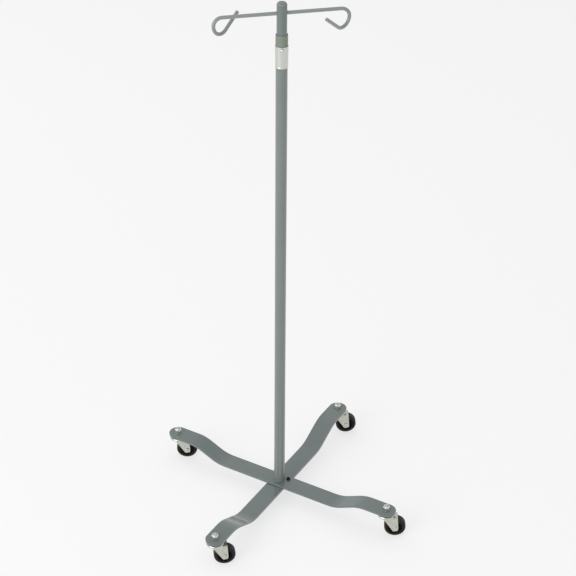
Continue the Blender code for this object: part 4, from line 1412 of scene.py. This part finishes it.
@dataclass
class Caster:
    """One swivel caster. Heights in its outlines are from the underside of the bar's end."""

    leg: Leg
    stem_radius: float = 4.75 * MM
    thread_depth: float = 0.55 * MM
    thread_pitch: float = 1.5 * MM
    race_radius: float = 20.3 * MM
    race_sheet: float = 1.6 * MM
    race_dish: float = 4.4 * MM
    race_skirt: float = 9.1 * MM
    race_seat: float = 8.0 * MM
    kingpin_radius: float = 4.0 * MM
    kingpin_head_radius: float = 6.5 * MM
    kingpin_head: float = 1.5 * MM
    nut_flats: float = 14.3 * MM
    nut_collar: float = 6.5 * MM
    nut_collar_height: float = 3.0 * MM
    washer_radius: float = 7.4 * MM
    ball_circle: float = 13.5 * MM
    ball_radius: float = 1.6 * MM
    balls: int = 25
    crown_radius: float = 18.0 * MM
    crown_depth: float = 10.2 * MM
    plate: float = 1.8 * MM
    fold: float = 3.0 * MM
    leading: float = -6.0 * MM
    trailing: float = 27.0 * MM
    tip_radius: float = 8.4 * MM
    tip_below_axle: float = 9.4 * MM
    boss_half: float = 10.7 * MM
    boss_radius: float = 6.5 * MM
    axle_radius: float = 3.15 * MM
    axle_head_radius: float = 4.8 * MM
    axle_head: float = 1.8 * MM
    panel_margin: float = 3.4 * MM
    panel_depth: float = 0.75 * MM
    panel_ease: float = 1.3 * MM
    fold_margin: float = 1.0 * MM
    rivet_margin: float = 1.2 * MM
    rivet_ease: float = 1.6 * MM
    plate_edge: float = 0.35 * MM
    plate_sharp: float = 50.0   # degrees past which an edge of the fork stays sharp
    crease_step: float = 1.1 * MM
    creases_out: int = 46       # creases from the crown to a plate's foot
    creases_along: int = 32     # creases from a plate's front to its back
    wheel_half: float = 10.0 * MM
    tread_rounding: float = 4.0 * MM
    tyre_depth: float = 8.1 * MM
    hub_rim: float = 3.0 * MM
    hub_web_half: float = 4.0 * MM
    hub_fillet: float = 1.2 * MM
    ribs: int = 6
    rib_width: float = 1.5 * MM
    rib_inset: float = 1.4 * MM     # how far a rib stays inside the rim's edge
    rib_bite: float = 0.4 * MM      # how far a rib's ends reach into the rim and the boss
    mould_line: float = 0.12 * MM

    def build(self) -> None:
        """Make the fixed stem, the swivelling fork and the wheel."""
        stem = Vector(joint(self.label("caster_swivel"))["pos_m"])
        axle = Vector(joint(self.label("wheel_spin"))["pos_m"])
        trail = axle - stem
        turn = math.atan2(trail.y, trail.x)
        self.trail = trail.xy.length
        self.drop = -trail.z
        self.stem_axis = Matrix.Translation(stem)
        self.swivel = self.stem_axis @ Matrix.Rotation(turn, 4, "Z")
        self.wheel = (Matrix.Translation(axle) @ Matrix.Rotation(turn, 4, "Z")
                      @ Matrix.Rotation(QUARTER_TURN, 4, "X"))
        self.stem()
        self.fork()
        self.axle()
        self.tyre(axle.z)
        self.hub()

    def label(self, kind: str) -> str:
        """Return the name that a piece, a CAD node, a body or a joint has on this leg."""
        return f"{kind}_{self.leg.value}"

    def stem(self) -> None:
        """Make the stem with its race and kingpin, its thread, its washer and its nut."""
        bar = self.stem_axis.translation.z
        top = high(self.label("caster_stem")).z - bar
        core = self.stem_radius - self.thread_depth
        inner = self.race_radius - self.race_sheet
        pin_end = -self.crown_depth - self.plate - 2 * GAP
        head_foot = pin_end - self.kingpin_head
        under = -GAP - self.race_sheet
        outline = section([
            (0, top), (core, top), (core, -GAP), (self.race_seat, -GAP),
            (inner + 0.4 * MM, -GAP - self.race_dish), (self.race_radius, -self.race_skirt * 0.7),
            (self.race_radius, -self.race_skirt), (inner, -self.race_skirt),
            (inner - 0.2 * MM, -GAP - self.race_dish - self.race_sheet),
            (self.race_seat, under), (self.kingpin_radius, under), (self.kingpin_radius, pin_end),
            (self.kingpin_head_radius, pin_end), (self.kingpin_head_radius, head_foot),
            (0, head_foot)],
            [0, 0.7 * MM, 0, 1.2 * MM, 1.6 * MM, 0.8 * MM, 0.6 * MM, 0.6 * MM, 0.8 * MM,
             1.0 * MM, 0.4 * MM, 0, 0.3 * MM, 1.2 * MM, 0], 4)
        made = revolve(self.label("stem_and_race"), outline, 72, self.stem_axis)
        fit(made, Body.BASE.value, ZINC, self.label("caster_stem"))
        nut_top = high(self.label("stem_nut")).z - bar
        wound = nut_top - 1.2 * MM
        length = top - 0.5 * MM - wound
        thread = grow(self.label("stem_thread"), thread_tree(), {
            "Turns": length / self.thread_pitch, "Radius": core, "Length": length,
            "Ridge": self.thread_depth}, ZINC, self.stem_axis @ Matrix.Translation((0, 0, wound)))
        fit(thread, Body.BASE.value, ZINC)
        fit(washer(self.label("washer"), self.label("stem_washer"), self.washer_radius,
                   self.stem_radius + GAP), Body.BASE.value, ZINC, self.label("stem_washer"))
        self.lock_nut()

    def lock_nut(self) -> None:
        """Make the hexagon lock nut, whose round collar is turned in over a nylon ring."""
        bar = self.stem_axis.translation.z
        foot = low(self.label("stem_nut")).z - bar
        crest = high(self.label("stem_nut")).z - bar
        seat = crest - self.nut_collar_height
        bore = self.stem_radius + GAP
        mouth = 0.5 * MM
        lip = 1.0 * MM
        collar = section([
            (bore + lip, crest - lip), (bore + lip, crest), (self.nut_collar, crest),
            (self.nut_collar, seat + 0.05 * MM)], [0, 0.3 * MM, 1.5 * MM, 0], 6)
        inner = [(bore + mouth, foot), (bore, foot + mouth), (bore, seat), (bore + lip, seat)]
        made = revolve(self.label("lock_nut"), collar + hex_outline(self.nut_flats, foot, seat)
                       + inner, 96, self.stem_axis, warp=hexagon(self.nut_flats, foot, seat),
                       sharp=HEXAGON_SHARP)
        # The lock nut's zinc is painted near white: painted highlight.
        fit(made, Body.BASE.value, HIGHLIGHT_NUT_ZINC, self.label("stem_nut"))
        ring = revolve(self.label("nylon_ring"), section([
            (bore + lip, crest - lip), (bore + lip, seat), (bore - 0.1 * MM, seat),
            (bore - 0.1 * MM, crest - lip)], [0.1 * MM, 0.1 * MM, 0.3 * MM, 0.3 * MM], 3,
            closed=True), 48, self.stem_axis)
        fit(ring, Body.BASE.value, WHITE_NYLON)

    def fork(self) -> None:
        """Make the fork, folded from one blank under its round crown, and its ring of balls."""
        swivel = self.label("swivel")
        deep = -self.crown_depth - self.plate
        ease = 0.8 * MM
        crown = revolve("crown", flat_ring(
            self.crown_radius, self.kingpin_radius + GAP, deep, -self.crown_depth,
            [ease, ease, 0.2 * MM, 0.2 * MM], 4), 72, self.swivel)
        made = join(self.folded_plates(), crown)
        fit(made, swivel, ZINC, self.label("caster_fork"))
        lie = self.stem_axis @ Matrix.Translation(
            (0, 0, -self.crown_depth + GAP + self.ball_radius))
        balls = grow(self.label("balls"), ball_ring_tree(), {
            "Count": self.balls, "Circle Radius": self.ball_circle,
            "Ball Radius": self.ball_radius}, STEEL, lie)
        fit(balls, swivel, STEEL, self.label("ball_race"))

    def folded_plates(self) -> bpy.types.Object:
        """Fold the blank of the two side plates over the wheel.

        Returns:
            The folded sheet, with each side plate's middle pressed in and its edge left proud.
        """
        side = self.boss_half + GAP + self.plate / 2
        flat = side - self.fold
        arc = self.fold * QUARTER_TURN
        top = -self.crown_depth - GAP - self.plate / 2
        lowest = self.drop + self.tip_below_axle

        def unfolded(depth: float) -> float:
            """Return how far out on the blank a depth under the bar lies."""
            return flat + arc + depth + top - self.fold

        shoulder = unfolded(self.crown_depth + GAP + 2 * self.plate)
        foot = unfolded(lowest)
        axle_at = unfolded(self.drop)
        front = [(self.leading, shoulder), (self.trail - self.tip_radius / 2, foot),
                 (self.trail + self.tip_radius, foot), (self.trailing, flat)]
        outline = section(front + [(x, -y) for x, y in reversed(front)],
                          [self.plate, self.tip_radius / 2, self.tip_radius * 0.8, 1.5 * MM]
                          + [1.5 * MM, self.tip_radius * 0.8, self.tip_radius / 2, self.plate],
                          8, closed=True)
        holes = [circle((self.trail, way * axle_at), self.axle_radius + GAP, 24)
                 for way in (1, -1)]
        holes.append(circle((0, 0), self.kingpin_radius + GAP, 24))
        creases = [(1, k * self.crease_step)
                   for k in range(-self.creases_out, self.creases_out + 1)]
        creases += [(0, self.leading + k * self.crease_step)
                    for k in range(1, self.creases_along + 1)]
        creases += [(1, way * (flat + arc * k / 6)) for way in (1, -1) for k in range(7)]
        edges = [(Vector(front[0]), Vector(front[1])), (Vector(front[2]), Vector(front[3]))]
        fold_line = flat + arc + self.fold_margin

        def pressed(along: float, out: float) -> float:
            """Return how far a point is pressed in, from its distance to the plate's edges."""
            point = Vector((along, out))
            margins = [out - fold_line]
            for start, end in edges:
                way = (end - start).normalized()
                arm = point - start
                margins.append(abs(way.x * arm.y - way.y * arm.x))
            inside = ease_in((min(margins) - self.panel_margin) / self.panel_ease)
            clear = ease_in(((point - Vector((self.trail, axle_at))).length
                             - self.axle_head_radius - self.rivet_margin) / self.rivet_ease)
            return self.panel_depth * inside * clear

        def bend(along: float, across_blank: float) -> Vector:
            """Place a point of the blank on the folded sheet."""
            way = math.copysign(1.0, across_blank)
            out = abs(across_blank)
            if out <= flat:
                return Vector((along, across_blank, top))
            if out <= flat + arc:
                angle = (out - flat) / self.fold
                return Vector((along, way * (flat + self.fold * math.sin(angle)),
                               top - self.fold * (1 - math.cos(angle))))
            return Vector((along, way * (side - pressed(along, out)),
                           top - self.fold - (out - flat - arc)))

        return bend_blank(self.label("fork"), [outline, *holes], creases, bend, self.plate,
                          self.plate_edge, self.swivel, self.plate_sharp)

    def axle(self) -> bpy.types.Object:
        """Make the axle rivet, domed at one end and spread over a dimple at the other."""
        seat = self.boss_half + GAP + self.plate + GAP
        end = seat + self.axle_head
        head = self.axle_head_radius
        top = section([(0, end), (head, end), (head, seat), (self.axle_radius, seat)],
                      [0, 1.4 * MM, 0.2 * MM, 0], 6)
        foot = section([(self.axle_radius, -seat), (head, -seat), (head, -end), (2.2 * MM, -end),
                        (1.4 * MM, -end + 1.1 * MM), (0, -end + 1.1 * MM)],
                       [0, 0.2 * MM, 1.4 * MM, 0.4 * MM, 0.3 * MM, 0], 5)
        made = revolve(self.label("axle_rivet"), top + foot, 40, self.wheel)
        return fit(made, self.label("swivel"), ZINC, self.label("axle"))

    def tyre(self, axle_height: float) -> bpy.types.Object:
        """Make the tyre, with its mould line round the middle of the tread.

        Args:
            axle_height: Height of the axle, which the tread's radius comes from.

        Returns:
            The tyre.
        """
        tread = axle_height - self.mould_line
        rim = tread - self.tyre_depth
        half = self.wheel_half
        groove = rim + 2.4 * MM
        upper = section([
            (rim, half - 1.0 * MM), (rim + 0.8 * MM, half), (groove - 0.4 * MM, half),
            (groove, half - 0.4 * MM), (groove + 0.4 * MM, half), (tread, half), (tread, 0)],
            [0, 0.4 * MM, 0.1 * MM, 0.2 * MM, 0.1 * MM, self.tread_rounding, 0], 6)[:-1]
        upper.append((tread, 0.25 * MM))
        ridge = [(tread + self.mould_line, 0.08 * MM), (tread + self.mould_line, -0.08 * MM)]
        outline = upper + ridge + [(r, -z) for r, z in reversed(upper)]
        made = revolve(self.label("tyre_rubber"), outline, 112, self.wheel)
        self.mark_tread(made, tread)
        return fit(made, self.label("wheel"), RUBBER, self.label("tyre"))

    def mark_tread(self, item: bpy.types.Object, tread: float) -> None:
        """Store how much of the tread's dust each point of the tyre carries."""
        back = self.wheel.inverted()
        attribute = item.data.attributes.new("tread", "FLOAT", "POINT")
        for corner, value in zip(item.data.vertices, attribute.data):
            local = back @ corner.co
            value.value = ease_in((local.xy.length - tread + 2.2 * MM) / (2.0 * MM))

    def hub(self) -> bpy.types.Object:
        """Make the hub with its web and ribs."""
        rim = self.wheel.translation.z - self.mould_line - self.tyre_depth
        outer = rim - GAP
        inner = rim - self.hub_rim
        rim_half = self.wheel_half - self.tread_rounding / 2
        bore = self.axle_radius + 0.35 * MM
        boss = self.boss_radius
        web = self.hub_web_half
        points = [(outer, rim_half), (outer, -rim_half), (inner, -rim_half), (inner, -web),
                  (boss, -web), (boss, -self.boss_half), (bore, -self.boss_half),
                  (bore, self.boss_half), (boss, self.boss_half), (boss, web), (inner, web),
                  (inner, rim_half)]
        fine = 0.4 * MM
        fillet = self.hub_fillet
        radii = [fine, fine, fine, fillet, fillet, fine, 0.2 * MM, 0.2 * MM, fine, fillet, fillet,
                 fine]
        made = revolve(self.label("wheel_hub"), section(points, radii, 4, closed=True), 80,
                       self.wheel)
        span = inner - boss + 2 * self.rib_bite
        ribs = grow(self.label("hub_ribs"), rib_ring_tree(), {
            "Count": self.ribs, "Circle Radius": (inner + boss) / 2, "Length": span,
            "Width": self.rib_width, "Height": 2 * (rim_half - self.rib_inset)}, HUB_PLASTIC,
            self.wheel)
        body = self.label("wheel")
        # The hub's black plastic is painted blacker than it is: painted shade.
        fit(ribs, body, HUB_PLASTIC)
        return fit(made, body, HUB_PLASTIC, self.label("hub"))


def ease_in(share: float) -> float:
    """Return a smooth step from 0 to 1."""
    held = min(max(share, 0.0), 1.0)
    return held * held * (3 - 2 * held)


# --- Studio ----------------------------------------------------------------------------------


@dataclass(frozen=True)
class Softbox:
    """A soft light: where it hangs, its width and height, and its power in watts."""

    name: str
    place: tuple[float, float, float]
    size: tuple[float, float]
    power: float


@dataclass
class Studio:
    """The pale floor, the soft lights and the camera."""

    lens: float = 110.76
    stand_off: tuple[float, float, float] = (1.6813, -2.8808, 2.7457)
    azimuth: float = math.radians(29.977)
    elevation: float = math.radians(32.872)
    roll: float = math.radians(0.471)
    sensor: float = 36.0
    clip_end: float = 100.0
    floor_size: float = 60.0
    floor_colour: str = "929292"
    floor_glow: float = 0.64
    floor_roughness: float = 0.9
    floor_mirror: float = 0.1
    sky: float = 0.80
    aim_height: float = 0.5
    lights: tuple[Softbox, ...] = (
        Softbox("key_light", (-0.9, -3.7, 1.9), (2.8, 2.8), 75.0),
        Softbox("side_light", (-3.2, 0.9, 2.2), (1.0, 2.6), 12.0),
        Softbox("top_light", (0.0, 0.6, 4.2), (3.0, 3.0), 6.0))

    def build(self) -> None:
        """Make the floor, the light and the camera."""
        self.floor()
        self.world()
        for light in self.lights:
            self.hang(light)
        self.camera()
        bpy.context.scene.view_settings.view_transform = "Standard"

    def floor(self) -> bpy.types.Object:
        """Make the floor, a sheet of opal plastic that is lit a little from below."""
        mesh = bpy.data.meshes.new("studio_floor")
        shape = bmesh.new()
        bmesh.ops.create_grid(shape, x_segments=1, y_segments=1, size=self.floor_size / 2)
        shape.to_mesh(mesh)
        shape.free()
        floor = link("studio_floor", mesh)
        paper = bpy.data.materials.new("lit_opal_sheet")
        paper.use_nodes = True
        feed(paper.node_tree, paper.node_tree.nodes["Principled BSDF"], {
            "Base Color": linear(self.floor_colour), "Roughness": self.floor_roughness,
            "Specular IOR Level": self.floor_mirror, "Emission Color": WHITE,
            "Emission Strength": self.floor_glow})
        mesh.materials.append(paper)
        return floor

    def world(self) -> None:
        """Light the scene evenly from all sides, as a tent of white cloth does."""
        world = bpy.data.worlds.new("studio_tent")
        world.use_nodes = True
        feed(world.node_tree, world.node_tree.nodes["Background"],
             {"Color": WHITE, "Strength": self.sky})
        bpy.context.scene.world = world

    def hang(self, light: Softbox) -> bpy.types.Object:
        """Hang a soft light that points at the pole."""
        lamp = bpy.data.lights.new(light.name, "AREA")
        lamp.shape = "RECTANGLE"
        lamp.size, lamp.size_y = light.size
        lamp.energy = light.power
        item = link(light.name, lamp)
        aim = pole_axis(self.aim_height) - Vector(light.place)
        item.matrix_world = (Matrix.Translation(light.place)
                             @ aim.to_track_quat("-Z", "Y").to_matrix().to_4x4())
        return item

    def camera(self) -> bpy.types.Object:
        """Set up the camera."""
        eye = bpy.data.cameras.new("camera")
        eye.lens = self.lens
        eye.sensor_width = self.sensor
        eye.clip_end = self.clip_end
        item = link("camera", eye)
        turn = (Matrix.Rotation(self.azimuth, 4, "Z")
                @ Matrix.Rotation(QUARTER_TURN - self.elevation, 4, "X")
                @ Matrix.Rotation(self.roll, 4, "Z"))
        item.matrix_world = Matrix.Translation(pole_axis() + Vector(self.stand_off)) @ turn
        bpy.context.scene.camera = item
        return item


def main() -> None:
    """Build the stand's looks and its studio."""
    logging.basicConfig(level=logging.INFO, format="%(name)s: %(message)s")
    Studio().build()
    LegCross().build()
    PoleFoot().build()
    pole = OuterPole()
    pole.build()
    LockCollet().build(pole)
    InnerPole().build()
    for leg in Leg:
        Caster(leg).build()


if __name__ == "__main__":
    main()
